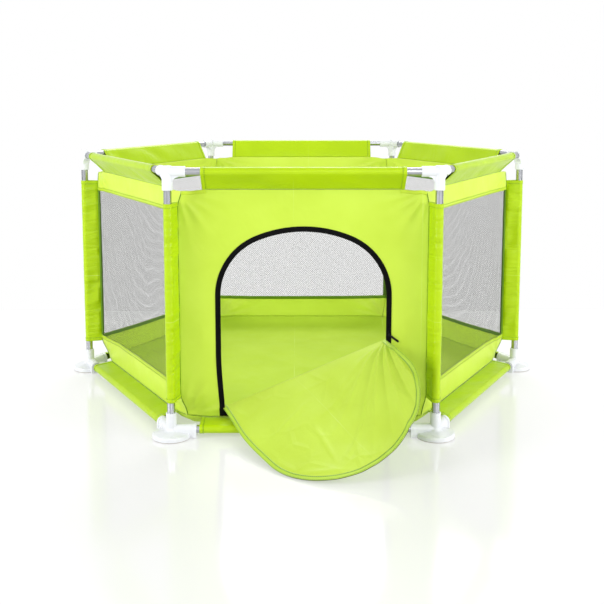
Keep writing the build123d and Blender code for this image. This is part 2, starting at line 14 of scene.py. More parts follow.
import bpy
import numpy as np
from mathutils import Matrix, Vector


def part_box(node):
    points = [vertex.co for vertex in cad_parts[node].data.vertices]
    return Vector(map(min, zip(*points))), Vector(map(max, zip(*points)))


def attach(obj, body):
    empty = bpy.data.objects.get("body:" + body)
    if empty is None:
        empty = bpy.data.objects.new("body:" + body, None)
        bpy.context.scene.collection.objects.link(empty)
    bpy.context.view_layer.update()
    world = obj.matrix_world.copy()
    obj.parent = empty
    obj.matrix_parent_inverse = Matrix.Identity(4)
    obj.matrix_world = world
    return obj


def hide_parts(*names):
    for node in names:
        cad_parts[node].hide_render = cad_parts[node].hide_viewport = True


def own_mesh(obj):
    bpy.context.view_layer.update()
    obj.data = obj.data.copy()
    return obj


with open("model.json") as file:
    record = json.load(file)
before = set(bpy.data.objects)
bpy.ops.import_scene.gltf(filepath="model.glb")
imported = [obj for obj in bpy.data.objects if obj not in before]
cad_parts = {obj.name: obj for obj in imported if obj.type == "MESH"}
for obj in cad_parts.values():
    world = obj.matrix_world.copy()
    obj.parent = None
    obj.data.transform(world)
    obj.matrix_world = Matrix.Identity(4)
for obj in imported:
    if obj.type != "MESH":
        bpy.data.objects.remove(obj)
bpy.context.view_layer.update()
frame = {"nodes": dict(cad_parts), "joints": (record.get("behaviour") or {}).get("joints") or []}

Array = np.ndarray
Material = bpy.types.Material
Piece = bpy.types.Object
Socket = bpy.types.NodeSocket
Value = Socket | float | tuple
Colour = tuple[int, int, int]
Pair = tuple[float, float]
Triple = tuple[float, float, float]
Steps = tuple[float, float, int]

LOG = logging.getLogger("playpen")
SIDES = range(1, 7)
NET_SIDES = range(2, 7)
TAN30 = math.tan(math.radians(30))
COS30 = math.cos(math.radians(30))
WHITE = (1.0, 1.0, 1.0, 1.0)

# Corners along each edge of the lattice that random hills are drawn on
LATTICE = 64
# Radians that Blender's wave bands turn through for each unit of their scale
WAVE_TURN = 20.0
# Points of one piece that lie nearer than this are joined
WELD = 0.00002


class Body(Enum):
    """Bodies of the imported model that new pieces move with."""

    PEN = "pen"
    FLAP = "door_flap"


class Slot(Enum):
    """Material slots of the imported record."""

    COVER = "cover_cloth"
    SLEEVE = "sleeve_cloth"
    NET = "mesh"
    ZIP = "zip_tape"


class Hold(Enum):
    """Ways in which a sheet of cloth is held."""

    HUNG = "hung"
    STRETCHED = "stretched"
    LAID = "laid"
    FOLDED = "folded"


def smooth(value: Array | float) -> Array:
    """Eases from 0 to 1 as the value goes from 0 to 1, flat at both ends."""
    held = np.clip(value, 0.0, 1.0)
    return held * held * (3.0 - 2.0 * held)


def fading(distance: Array, reach: Array | float) -> Array:
    """Eases from 1 at no distance to 0 at the reach."""
    return smooth(1.0 - distance / reach)


def hills(x: Array, y: Array, pitch: float, seed: int) -> Array:
    """Smooth random hills between -1 and 1.

    A lattice of random heights, one each pitch, is blended across each cell with eased weights.

    Args:
        x: First coordinate of each point.
        y: Second coordinate of each point.
        pitch: Distance between lattice corners.
        seed: Number that picks the heights.

    Returns:
        The height at each point.
    """
    heights = np.random.default_rng(seed).uniform(-1.0, 1.0, (LATTICE, LATTICE))
    column, row = np.floor(x / pitch).astype(int), np.floor(y / pitch).astype(int)
    across, up = smooth(x / pitch - column), smooth(y / pitch - row)
    left, right = column % LATTICE, (column + 1) % LATTICE
    near, far = (
        heights[left, line % LATTICE] * (1 - across) + heights[right, line % LATTICE] * across
        for line in (row, row + 1)
    )
    return near * (1 - up) + far * up


def grid(across: Steps, up: Steps) -> tuple[Array, Array]:
    """An even grid of places.

    Args:
        across: First and last place along a row, and how many.
        up: First and last place up a column, and how many.

    Returns:
        (across, up) of the places, each with a row for each step up.
    """
    first, second = np.meshgrid(np.linspace(*across), np.linspace(*up))
    return first, second


def turned(points: Array, side: int) -> Array:
    """Turns points of side 1 about the upright axis to the place of another side.

    Args:
        points: Points with their coordinates last.
        side: Number of the side, from 1.

    Returns:
        The turned points.
    """
    angle = math.radians(60 * (side - 1))
    cosine, sine = math.cos(angle), math.sin(angle)
    return points @ np.array([[cosine, -sine, 0], [sine, cosine, 0], [0, 0, 1]]).T


def linear(colour: Colour) -> tuple[float, ...]:
    """Turns a colour of screen values into the linear values that shaders take.

    Args:
        colour: Red, green and blue from 0 to 255.

    Returns:
        The linear colour, opaque.
    """
    share = np.array(colour) / 255.0
    value = np.where(share <= 0.04045, share / 12.92, ((share + 0.055) / 1.055) ** 2.4)
    return (*value.tolist(), 1.0)


# Finishes


class Wiring:
    """Adds and joins the nodes of one new material."""

    def __init__(self, name: str) -> None:
        """Starts a material with its usual shader.

        Args:
            name: Name of the material.
        """
        self.material = bpy.data.materials.new(name)
        self.material.use_nodes = True
        self.tree = self.material.node_tree
        self.shader = self.tree.nodes["Principled BSDF"]

    def set(self, socket: Socket, value: Value) -> None:
        """Gives a socket a value, or joins it to another socket.

        Args:
            socket: An input.
            value: The value, or an output.
        """
        if isinstance(value, bpy.types.NodeSocket):
            self.tree.links.new(value, socket)
        else:
            socket.default_value = value

    def shade(self, **values: Value) -> None:
        """Sets inputs of the shader.

        Args:
            values: The values, by the inputs' names with _ for each space.
        """
        for name, value in values.items():
            words = " ".join(word if word == "IOR" else word.capitalize() for word in name.split("_"))
            self.set(self.shader.inputs[words], value)

    def add(self, kind: str, output: str | int, inputs: dict[str | int, Value], **settings: str) -> Socket:
        """Adds a node.

        Args:
            kind: Blender's name of the node, after ShaderNode.
            output: The output that is wanted.
            inputs: Values, or other outputs, for its inputs.
            settings: The node's own settings.

        Returns:
            The wanted output.
        """
        node = self.tree.nodes.new(f"ShaderNode{kind}")
        for name, setting in settings.items():
            setattr(node, name, setting)
        for name, value in inputs.items():
            self.set(node.inputs[name], value)
        return node.outputs[output]

    def coordinates(self, kind: str) -> Socket:
        """The UV or Object coordinates of the surface."""
        return self.add("TexCoord", kind, {})

    def stretched(self, vector: Socket, scale: Triple, turn: float) -> Socket:
        """Coordinates turned about the upright axis and then scaled.

        Args:
            vector: The coordinates.
            scale: Factor on each axis.
            turn: Angle of the turn.

        Returns:
            The new coordinates.
        """
        size = tuple(1.0 / part for part in scale)
        inputs = {"Vector": vector, "Rotation": (0.0, 0.0, turn), "Scale": size}
        return self.add("Mapping", "Vector", inputs, vector_type="TEXTURE")

    def noise(self, vector: Socket, scale: float, detail: float = 2.0, warp: float = 0.0) -> Socket:
        """Cloudy noise from 0 to 1 with that many hills a metre, layers of detail and bends."""
        inputs = {"Vector": vector, "Scale": scale, "Detail": detail, "Distortion": warp}
        return self.add("TexNoise", "Fac", inputs)

    def threads(self, vector: Socket, pitch: float, direction: str) -> Socket:
        """Rounded bands from 0 to 1 across one axis, X or Y, one each pitch."""
        inputs = {"Vector": vector, "Scale": 2 * math.pi / WAVE_TURN / pitch}
        return self.add("TexWave", "Fac", inputs, bands_direction=direction)

    def folds(self, vector: Socket, pitch: float, start: float, width: float) -> Socket:
        """Thin soft lines across the first axis.

        Args:
            vector: The coordinates.
            pitch: Distance from line to line.
            start: How far the lines are drawn back along the axis.
            width: Half of a line's width.

        Returns:
            1 in the middle of a line, and 0 between the lines.
        """
        along = self.sum("ADD", self.add("SeparateXYZ", "X", {"Vector": vector}), start)
        distance = self.sum("PINGPONG", along, pitch / 2)
        return self.span(distance, (0.0, width), (1.0, 0.0))

    def crinkles(self, vector: Socket, scale: float, width: float) -> Socket:
        """A web of straight ridges between flat cells.

        Args:
            vector: The coordinates.
            scale: Cells a metre.
            width: Half of a ridge's width, as a share of a cell.

        Returns:
            1 along a ridge, and 0 on a cell.
        """
        shape = {"voronoi_dimensions": "2D", "feature": "DISTANCE_TO_EDGE"}
        distance = self.add("TexVoronoi", "Distance", {"Vector": vector, "Scale": scale}, **shape)
        return self.span(distance, (0.0, width), (1.0, 0.0))

    def span(self, value: Socket, edges: Pair, ends: Pair = (0.0, 1.0)) -> Socket:
        """A value's stretch between two edges carried over to two ends, and held there."""
        return self.add("MapRange", "Result", {"Value": value, **dict(enumerate((*edges, *ends), start=1))})

    def sum(self, operation: str, first: Value, second: Value) -> Socket:
        """One step of arithmetic on two values."""
        return self.add("Math", "Value", {0: first, 1: second}, operation=operation)

    def mix(self, share: Socket, first: Value, second: Value) -> Socket:
        """A colour between two others."""
        return self.add("Mix", 2, {0: share, 6: first, 7: second}, data_type="RGBA")

    def relief(self, height: Socket, depth: float, strength: float) -> Socket:
        """A surface direction that follows a height, where 1 stands depth proud."""
        return self.add("Bump", "Normal", {"Height": height, "Distance": depth, "Strength": strength})


@dataclass(frozen=True)
class Finish:
    """A surface that varies softly between a colour and a shade of it."""

    name: str
    colour: Colour
    shade: Colour

    def material(self) -> Material:
        """Builds the material.

        Returns:
            The new material.
        """
        wiring = Wiring(self.name)
        self.wire(wiring)
        return wiring.material

    def wire(self, wiring: Wiring) -> None:
        """Adds the nodes, which each kind of finish does in its own way."""
        raise NotImplementedError

    def tint(self, wiring: Wiring, share: Socket) -> Socket:
        """The colour where the share is 0, the shade where it is 1, and a mixture between."""
        return wiring.mix(share, linear(self.colour), linear(self.shade))


@dataclass(frozen=True)
class ClothFinish(Finish):
    """Coated woven cloth with soft mottling, a plain weave, pale scuffs of wear, and pale lines along its
    packing folds that are painted highlight on the folds' ridges.

    Hills and cells are counted by the metre. Widths, pitches and depth are lengths. The heights of weave,
    creases, wrinkles and crinkles are shares of the depth.
    """

    # Pale colour of the folds, which is painted highlight, and of the scuffs, which are wear
    highlight_and_scuff: Colour = (238, 252, 170)
    glow: float = 0.0
    roughness: float = 0.4
    roughness_spread: float = 0.07
    gloss: float = 0.42
    sheen: float = 0.05
    sheen_spread: float = 0.4
    mottle_hills: float = 7.0
    gloss_hills: float = 18.0
    pucker_hills: float = 55.0
    depth: float = 0.0008
    relief: float = 0.5
    weave: float = 0.0011
    weave_height: float = 0.12
    fold_pitch: float = 0.31
    fold_start: float = 0.024
    fold_width: float = 0.0012
    fold_hills: float = 6.0
    fold_highlight: float = 0.34
    scuffs: Triple = (150.0, 11.0, 1.0)
    scuff_turn: float = 0.6
    scuff_pale: float = 0.16
    crease_height: float = 0.8
    drawn: Triple = (22.0, 6.0, 1.0)
    drawn_turn: float = 0.5
    drawn_warp: float = 0.6
    wrinkle: float = 3.0
    crinkle: float = 0.0
    crinkle_hills: float = 9.0
    crinkle_cells: float = 17.0
    crinkle_width: float = 0.16

    def wire(self, wiring: Wiring) -> None:
        """Adds the nodes, on the flat cut's own coordinates.

        Args:
            wiring: Nodes of the new material.
        """
        cut = wiring.coordinates("UV")
        mottle = wiring.span(wiring.noise(cut, self.mottle_hills, 3.0), edges=(0.32, 0.68))
        # Pale marks: painted highlight along the folds, and scuffs of wear
        highlight_and_scuff = self.creases(wiring, cut)
        colour = wiring.mix(highlight_and_scuff, self.tint(wiring, mottle), linear(self.highlight_and_scuff))
        low, high = self.roughness - self.roughness_spread, self.roughness + self.roughness_spread
        rough = wiring.span(wiring.noise(cut, self.gloss_hills), edges=(0.3, 0.7), ends=(low, high))
        relief = wiring.relief(self.height(wiring, cut, highlight_and_scuff), self.depth, self.relief)
        wiring.shade(base_color=colour, roughness=rough, normal=relief, specular_IOR_level=self.gloss)
        wiring.shade(sheen_weight=self.sheen, sheen_roughness=self.sheen_spread)
        if self.glow:
            self.let_light_through(wiring, colour)

    def creases(self, wiring: Wiring, cut: Socket) -> Socket:
        """Adds pale lines along the packing folds, as painted highlight shown in patches, and short slanting
        scuffs of pale wear.

        Args:
            wiring: Nodes of the new material.
            cut: Coordinates on the flat cut.

        Returns:
            How pale each place is.
        """
        # Fold lines: painted highlight, shown in patches
        packed = wiring.folds(cut, self.fold_pitch, self.fold_start, self.fold_width)
        fold_highlight_patches = wiring.noise(cut, self.fold_hills)
        fold_highlight_patches = wiring.span(fold_highlight_patches, edges=(0.40, 0.62), ends=(0.0, self.fold_highlight))
        scuffs = wiring.noise(wiring.stretched(cut, self.scuffs, self.scuff_turn), 1.0)
        scuffs = wiring.span(scuffs, edges=(0.75, 0.85), ends=(0.0, self.scuff_pale))
        return wiring.sum("MAXIMUM", wiring.sum("MULTIPLY", packed, fold_highlight_patches), scuffs)

    def height(self, wiring: Wiring, cut: Socket, highlight_and_scuff: Socket) -> Socket:
        """Adds up puckers, weave, creases, drawn wrinkles and, on some cloth, broken crinkles.

        Args:
            wiring: Nodes of the new material.
            cut: Coordinates on the flat cut.
            highlight_and_scuff: How pale each place is, from painted highlight on the folds and from scuffs,
                which also stands proud.

        Returns:
            The height of the surface, as a share of the depth.
        """
        weave = wiring.sum("MAXIMUM", *(wiring.threads(cut, self.weave, way) for way in "XY"))
        drawn = wiring.noise(wiring.stretched(cut, self.drawn, self.drawn_turn), 1.0, warp=self.drawn_warp)
        layers = [(weave, self.weave_height), (highlight_and_scuff, self.crease_height), (drawn, self.wrinkle)]
        if self.crinkle:
            patches = wiring.noise(cut, self.crinkle_hills, 1.0)
            broken = wiring.span(patches, edges=(0.42, 0.62), ends=(0.0, self.crinkle))
            layers.append((wiring.crinkles(cut, self.crinkle_cells, self.crinkle_width), broken))
        height = wiring.noise(cut, self.pucker_hills)
        for layer, share in layers:
            height = wiring.sum("ADD", height, wiring.sum("MULTIPLY", layer, share))
        return height

    def let_light_through(self, wiring: Wiring, colour: Socket) -> None:
        """Mixes in light that comes through the cloth from behind.

        Args:
            wiring: Nodes of the new material.
            colour: Colour of the cloth.
        """
        through = wiring.add("BsdfTranslucent", "BSDF", {"Color": colour})
        shares = {0: self.glow, 1: wiring.shader.outputs["BSDF"], 2: through}
        both = wiring.add("MixShader", "Shader", shares)
        wiring.set(wiring.tree.nodes["Material Output"].inputs["Surface"], both)


@dataclass(frozen=True)
class ThreadFinish(Finish):
    """Twisted thread, used for the net and for stitching, mottled from thread to thread."""

    mottle_hills: float = 140.0
    roughness: float = 0.6
    roughness_spread: float = 0.08
    gloss: float = 0.3

    def wire(self, wiring: Wiring) -> None:
        """Adds the nodes, on the object's own coordinates.

        Args:
            wiring: Nodes of the new material.
        """
        place = wiring.coordinates("Object")
        mottle = wiring.span(wiring.noise(place, self.mottle_hills), edges=(0.35, 0.65))
        low, high = self.roughness - self.roughness_spread, self.roughness + self.roughness_spread
        rough = wiring.span(mottle, edges=(0.0, 1.0), ends=(low, high))
        wiring.shade(base_color=self.tint(wiring, mottle), roughness=rough, specular_IOR_level=self.gloss)


@dataclass(frozen=True)
class ZipFinish(Finish):
    """Black zip tape: twill ribs along its length and coil turns across its ridge."""

    rib: float = 0.0009
    coil: float = 0.0016
    depth: float = 0.0003
    relief: float = 0.6
    dust_hills: float = 60.0
    roughness: Pair = (0.5, 0.68)
    gloss: float = 0.07

    def wire(self, wiring: Wiring) -> None:
        """Adds the nodes, on the tape's own length and width.

        Args:
            wiring: Nodes of the new material.
        """
        tape = wiring.coordinates("UV")
        ribs, turns = wiring.threads(tape, self.rib, "Y"), wiring.threads(tape, self.coil, "X")
        dust = wiring.span(wiring.noise(tape, self.dust_hills, 3.0), edges=(0.4, 0.75))
        relief = wiring.relief(wiring.sum("ADD", ribs, turns), self.depth, self.relief)
        rough = wiring.span(ribs, edges=(0.0, 1.0), ends=self.roughness)
        wiring.shade(base_color=self.tint(wiring, dust), normal=relief)
        wiring.shade(roughness=rough, specular_IOR_level=self.gloss)


@dataclass(frozen=True)
class PlasticFinish(Finish):
    """Moulded plastic with a faint grain and slight clouding."""

    roughness: float = 0.3
    roughness_spread: Pair = (-0.05, 0.07)
    grain: float = 0.00006
    coat: float = 0.15
    coat_roughness: float = 0.18
    gloss: float = 0.45
    cloud_hills: float = 22.0
    grain_hills: float = 900.0
    relief: float = 0.5

    def wire(self, wiring: Wiring) -> None:
        """Adds the nodes, on the object's own coordinates.

        Args:
            wiring: Nodes of the new material.
        """
        place = wiring.coordinates("Object")
        cloud = wiring.span(wiring.noise(place, self.cloud_hills, 3.0), edges=(0.35, 0.7))
        relief = wiring.relief(wiring.noise(place, self.grain_hills, 1.0), self.grain, self.relief)
        low, high = (self.roughness + part for part in self.roughness_spread)
        rough = wiring.span(cloud, edges=(0.0, 1.0), ends=(low, high))
        wiring.shade(base_color=self.tint(wiring, cloud), normal=relief)
        wiring.shade(roughness=rough, specular_IOR_level=self.gloss)
        wiring.shade(coat_weight=self.coat, coat_roughness=self.coat_roughness)


@dataclass(frozen=True)
class MetalFinish(Finish):
    """Drawn metal with fine streaks along one level direction, or upright. Its own colour is steel's."""

    colour: Colour = (184, 186, 190)
    shade: Colour = (164, 166, 171)
    roughness: float = 0.22
    roughness_spread: Pair = (-0.06, 0.1)
    heading: float = 0.0
    upright: bool = False
    cloud_hills: float = 30.0
    streaks_along: float = 6.0
    streaks_across: float = 420.0
    depth: float = 0.00004
    relief: float = 0.35

    def wire(self, wiring: Wiring) -> None:
        """Adds the nodes, with noise drawn out along the metal's length.

        Args:
            wiring: Nodes of the new material.
        """
        place = wiring.coordinates("Object")
        along, across = self.streaks_along, self.streaks_across
        drawn = (across, across, along) if self.upright else (along, across, across)
        streaks = wiring.noise(wiring.stretched(place, drawn, self.heading), 1.0, 3.0)
        cloud = wiring.span(wiring.noise(place, self.cloud_hills, 3.0), edges=(0.3, 0.75))
        low, high = (self.roughness + part for part in self.roughness_spread)
        rough = wiring.span(streaks, edges=(0.3, 0.7), ends=(low, high))
        relief = wiring.relief(streaks, self.depth, self.relief)
        wiring.shade(base_color=self.tint(wiring, cloud), roughness=rough, normal=relief, metallic=1.0)


def made(finish: Finish) -> Material:
    """A dataclass field that holds the material of a finish."""
    return field(default_factory=finish.material)


@dataclass
class Finishes:
    """All materials of the pen, each made once."""

    cover: Material = made(ClothFinish("cover_cloth", (214, 236, 84), (207, 230, 72), glow=0.3, crinkle=0.8))
    # The cover's cloth painted paler: painted light for the light that the bands catch at a slant
    band: Material = made(
        ClothFinish(
            "band_cloth_painted_light", (224, 243, 98), (218, 237, 86), glow=0.3, crinkle=0.8, sheen=0.5, sheen_spread=0.27
        )
    )
    floor: Material = made(
        ClothFinish("floor_cloth", (189, 218, 68), (182, 212, 60), roughness=0.62, gloss=0.08)
    )
    # Darker, deeper green than the cover: painted shade for the doubled cloth, which lets less light through,
    # and for the flanges that face down
    sleeve: Material = made(
        ClothFinish(
            "sleeve_cloth", (181, 214, 4), (172, 205, 2), glow=0.06, roughness=0.36, gloss=0.3,
            sheen=0.4, sheen_spread=0.27, wrinkle=5.0,
        )
    )
    # Same darker green: painted shade for the doubled cloth, which lets less light through
    post_sleeve: Material = made(
        ClothFinish(
            "post_sleeve_cloth", (181, 214, 4), (172, 205, 2), glow=0.06, roughness=0.36, gloss=0.3,
            drawn=(40.0, 7.0, 1.0), drawn_turn=0.1, wrinkle=20.0,
        )
    )
    hem: Material = made(ClothFinish("hem_cloth", (190, 217, 44), (181, 208, 36)))
    # Dark green: painted shade for the shadowed, doubled strips along the corner seams and on the back faces
    # of the band folds
    binding: Material = made(ClothFinish("binding_cloth_painted_shade", (94, 134, 6), (84, 124, 5)))
    # The cover's cloth painted a little darker: painted shade, as the flap lies face up and catches more
    # light
    flap: Material = made(ClothFinish("flap_cloth", (207, 230, 86), (200, 223, 74), glow=0.3, crinkle=2.4))
    rim: Material = made(ClothFinish("rim_cloth", (172, 203, 62), (162, 194, 54)))
    net: Material = made(ThreadFinish("net_thread", (60, 61, 60), (50, 51, 50)))
    stitch: Material = made(ThreadFinish("stitch_thread", (108, 160, 66), (94, 144, 56)))
    rim_stitch: Material = made(ThreadFinish("rim_thread", (84, 138, 80), (74, 124, 70)))
    # Dark green of the seam cords: the seam itself, and painted shade for the crease along it
    seam: Material = made(ThreadFinish("seam_cord_painted_shade", (92, 134, 20), (80, 120, 16)))
    tape: Material = made(ZipFinish("zip_tape", (5, 5, 6), (12, 12, 13)))
    plastic: Material = made(PlasticFinish("white_plastic", (224, 226, 229), (218, 221, 225)))
    rubber: Material = made(
        PlasticFinish("cup_rubber", (172, 165, 154), (154, 147, 136), roughness=0.36, grain=0.0001, coat=0.3)
    )
    black_metal: Material = made(MetalFinish("black_metal", (26, 26, 28), (40, 40, 43), roughness=0.38))
    post_steel: Material = made(MetalFinish("post_steel", upright=True))
    rail_steel: list[Material] = field(
        default_factory=lambda: [
            MetalFinish(f"rail_steel_{turn}", heading=math.radians(60 * turn)).material()
            for turn in range(3)
        ]
    )


# Meshes


@dataclass
class Patch:
    """A stretch of surface over its flat cut.

    points is (rows, columns, 3) and flat is (rows, columns, 2), the same points on the flat cloth. keep says
    which cells of the grid are there, and ring joins the last column to the first.
    """

    points: Array
    flat: Array
    finish: int = 0
    keep: Array | None = None
    ring: bool = False

    def cells(self) -> Array:
        """Lists the cells that are there.

        Returns:
            (n, 4) corners of each cell, as numbers into the patch's points.
        """
        rows, columns = self.points.shape[:2]
        index = np.arange(rows * columns).reshape(rows, columns)
        if self.ring:
            index = np.concatenate([index, index[:, :1]], axis=1)
        corners = np.stack([index[:-1, :-1], index[:-1, 1:], index[1:, 1:], index[1:, :-1]], axis=-1)
        return corners[self.keep] if self.keep is not None else corners.reshape(-1, 4)

    def flat_area(self) -> float:
        """Works out the area of the flat cut under this patch.

        Returns:
            Half of the cross product of each cell's diagonals, summed.
        """
        spots = self.flat.reshape(-1, 2)[self.cells()]
        first, second = spots[:, 2] - spots[:, 0], spots[:, 3] - spots[:, 1]
        return float(np.abs(first[:, 0] * second[:, 1] - first[:, 1] * second[:, 0]).sum() / 2)


def make_mesh(
    name: str, points: Array, cells: Array, flat: Array, finishes: list[Material],
    chosen: Array | None = None,
) -> Piece:
    """Puts arrays into a new smooth mesh object at the origin.

    Args:
        name: Name of the piece.
        points: (n, 3) places of the vertices.
        cells: (m, 3) or (m, 4) vertex numbers of the faces.
        flat: (n, 2) flat places of the vertices, kept as the UV map.
        finishes: Materials.
        chosen: (m,) number of each face's material, where it isn't the first for all of them.

    Returns:
        The new object.
    """
    mesh = bpy.data.meshes.new(name)
    mesh.from_pydata(points.tolist(), [], cells.tolist())
    corner = np.empty(len(mesh.loops), dtype=np.int32)
    mesh.loops.foreach_get("vertex_index", corner)
    layer = mesh.uv_layers.new(name="cut")
    layer.data.foreach_set("uv", flat[corner].astype(np.float32).ravel())
    if chosen is not None:
        mesh.polygons.foreach_set("material_index", chosen.astype(np.int32))
    mesh.polygons.foreach_set("use_smooth", np.ones(len(mesh.polygons), dtype=bool))
    for finish in finishes:
        mesh.materials.append(finish)
    mesh.update()
    piece = bpy.data.objects.new(name, mesh)
    bpy.context.scene.collection.objects.link(piece)
    return piece


def sew_piece(
    name: str, patches: list[Patch], finishes: list[Material], body: Body, thick: float = 0.0
) -> Piece:
    """Makes one piece from its patches, joined where they meet, and lets it move with a body.

    Args:
        name: Name of the piece.
        patches: Its stretches of surface.
        finishes: Materials that the patches name by number.
        body: Body that it moves with.
        thick: Thickness of the cloth, or 0 for a bare surface.

    Returns:
        The new piece.
    """
    starts = np.cumsum([0] + [patch.points.shape[0] * patch.points.shape[1] for patch in patches])
    points = np.concatenate([patch.points.reshape(-1, 3) for patch in patches])
    flat = np.concatenate([patch.flat.reshape(-1, 2) for patch in patches])
    cells = [patch.cells() for patch in patches]
    chosen = np.concatenate([np.full(len(some), patch.finish) for some, patch in zip(cells, patches)])
    joined = np.concatenate([some + start for some, start in zip(cells, starts)])
    piece = make_mesh(name, points, joined, flat, finishes, chosen)
    piece.modifiers.new("joined", "WELD").merge_threshold = WELD
    if thick:
        wall = piece.modifiers.new("thickness", "SOLIDIFY")
        wall.thickness = thick
        wall.offset = -1.0
    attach(piece, body.value)
    LOG.info("%s: %d faces on %s", name, len(joined), body.value)
    return piece


def declare_sheet(patches: list[Patch]) -> None:
    """Works out the flat area that a piece's patches cover, which is not used further.

    Args:
        patches: Its patches.
    """
    area = sum(patch.flat_area() for patch in patches)


# Shape of the cover


@dataclass(frozen=True)
class PenLayout:
    """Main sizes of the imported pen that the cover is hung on."""

    side: float
    tube_r: float
    rail_low: float
    rail_high: float
    wall_low: float
    wall_top: float
    low_apothem: float
    top_apothem: float
    top_sleeve_half: float
    low_sleeve_half: float
    post_sleeve_low: float
    post_sleeve_top: float
    fold_start: Array
    fold_axis: Array
    fold_open: float

    @classmethod
    def from_frame(cls) -> "PenLayout":
        """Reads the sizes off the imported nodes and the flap's joint.

        Returns:
            The layout.
        """
        post, high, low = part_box("post_tube_3"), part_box("top_rail_1"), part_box("bottom_rail_1")
        wall, floor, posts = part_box("front_wall"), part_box("floor_sheet"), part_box("post_sleeves")
        fold = next(joint for joint in frame["joints"] if joint["name"] == "flap_fold")
        return cls(
            side=(post[0].x + post[1].x) / 2,
            tube_r=(high[1].z - high[0].z) / 2,
            rail_low=(low[0].z + low[1].z) / 2,
            rail_high=(high[0].z + high[1].z) / 2,
            wall_low=wall[0].z,
            wall_top=wall[1].z,
            low_apothem=-floor[0].y,
            top_apothem=-wall[0].y,
            top_sleeve_half=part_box("top_sleeve_1")[1].x,
            low_sleeve_half=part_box("bottom_sleeve_1")[1].x,
            post_sleeve_low=posts[0].z,
            post_sleeve_top=posts[1].z,
            fold_start=np.array(fold["pos_m"]),
            fold_axis=-np.array(fold["axis"]),
            fold_open=math.radians(fold["range_deg"][1]),
        )

    @property
    def apothem(self) -> float:
        """Distance from the pen's middle to a rail's axis."""
        return self.side * COS30

    @property
    def lean(self) -> float:
        """Angle by which the walls lean out."""
        return math.atan2(self.top_apothem - self.low_apothem, self.wall_top - self.wall_low)

    @property
    def height(self) -> float:
        """Height of a wall, measured up the cloth."""
        return math.hypot(self.top_apothem - self.low_apothem, self.wall_top - self.wall_low)


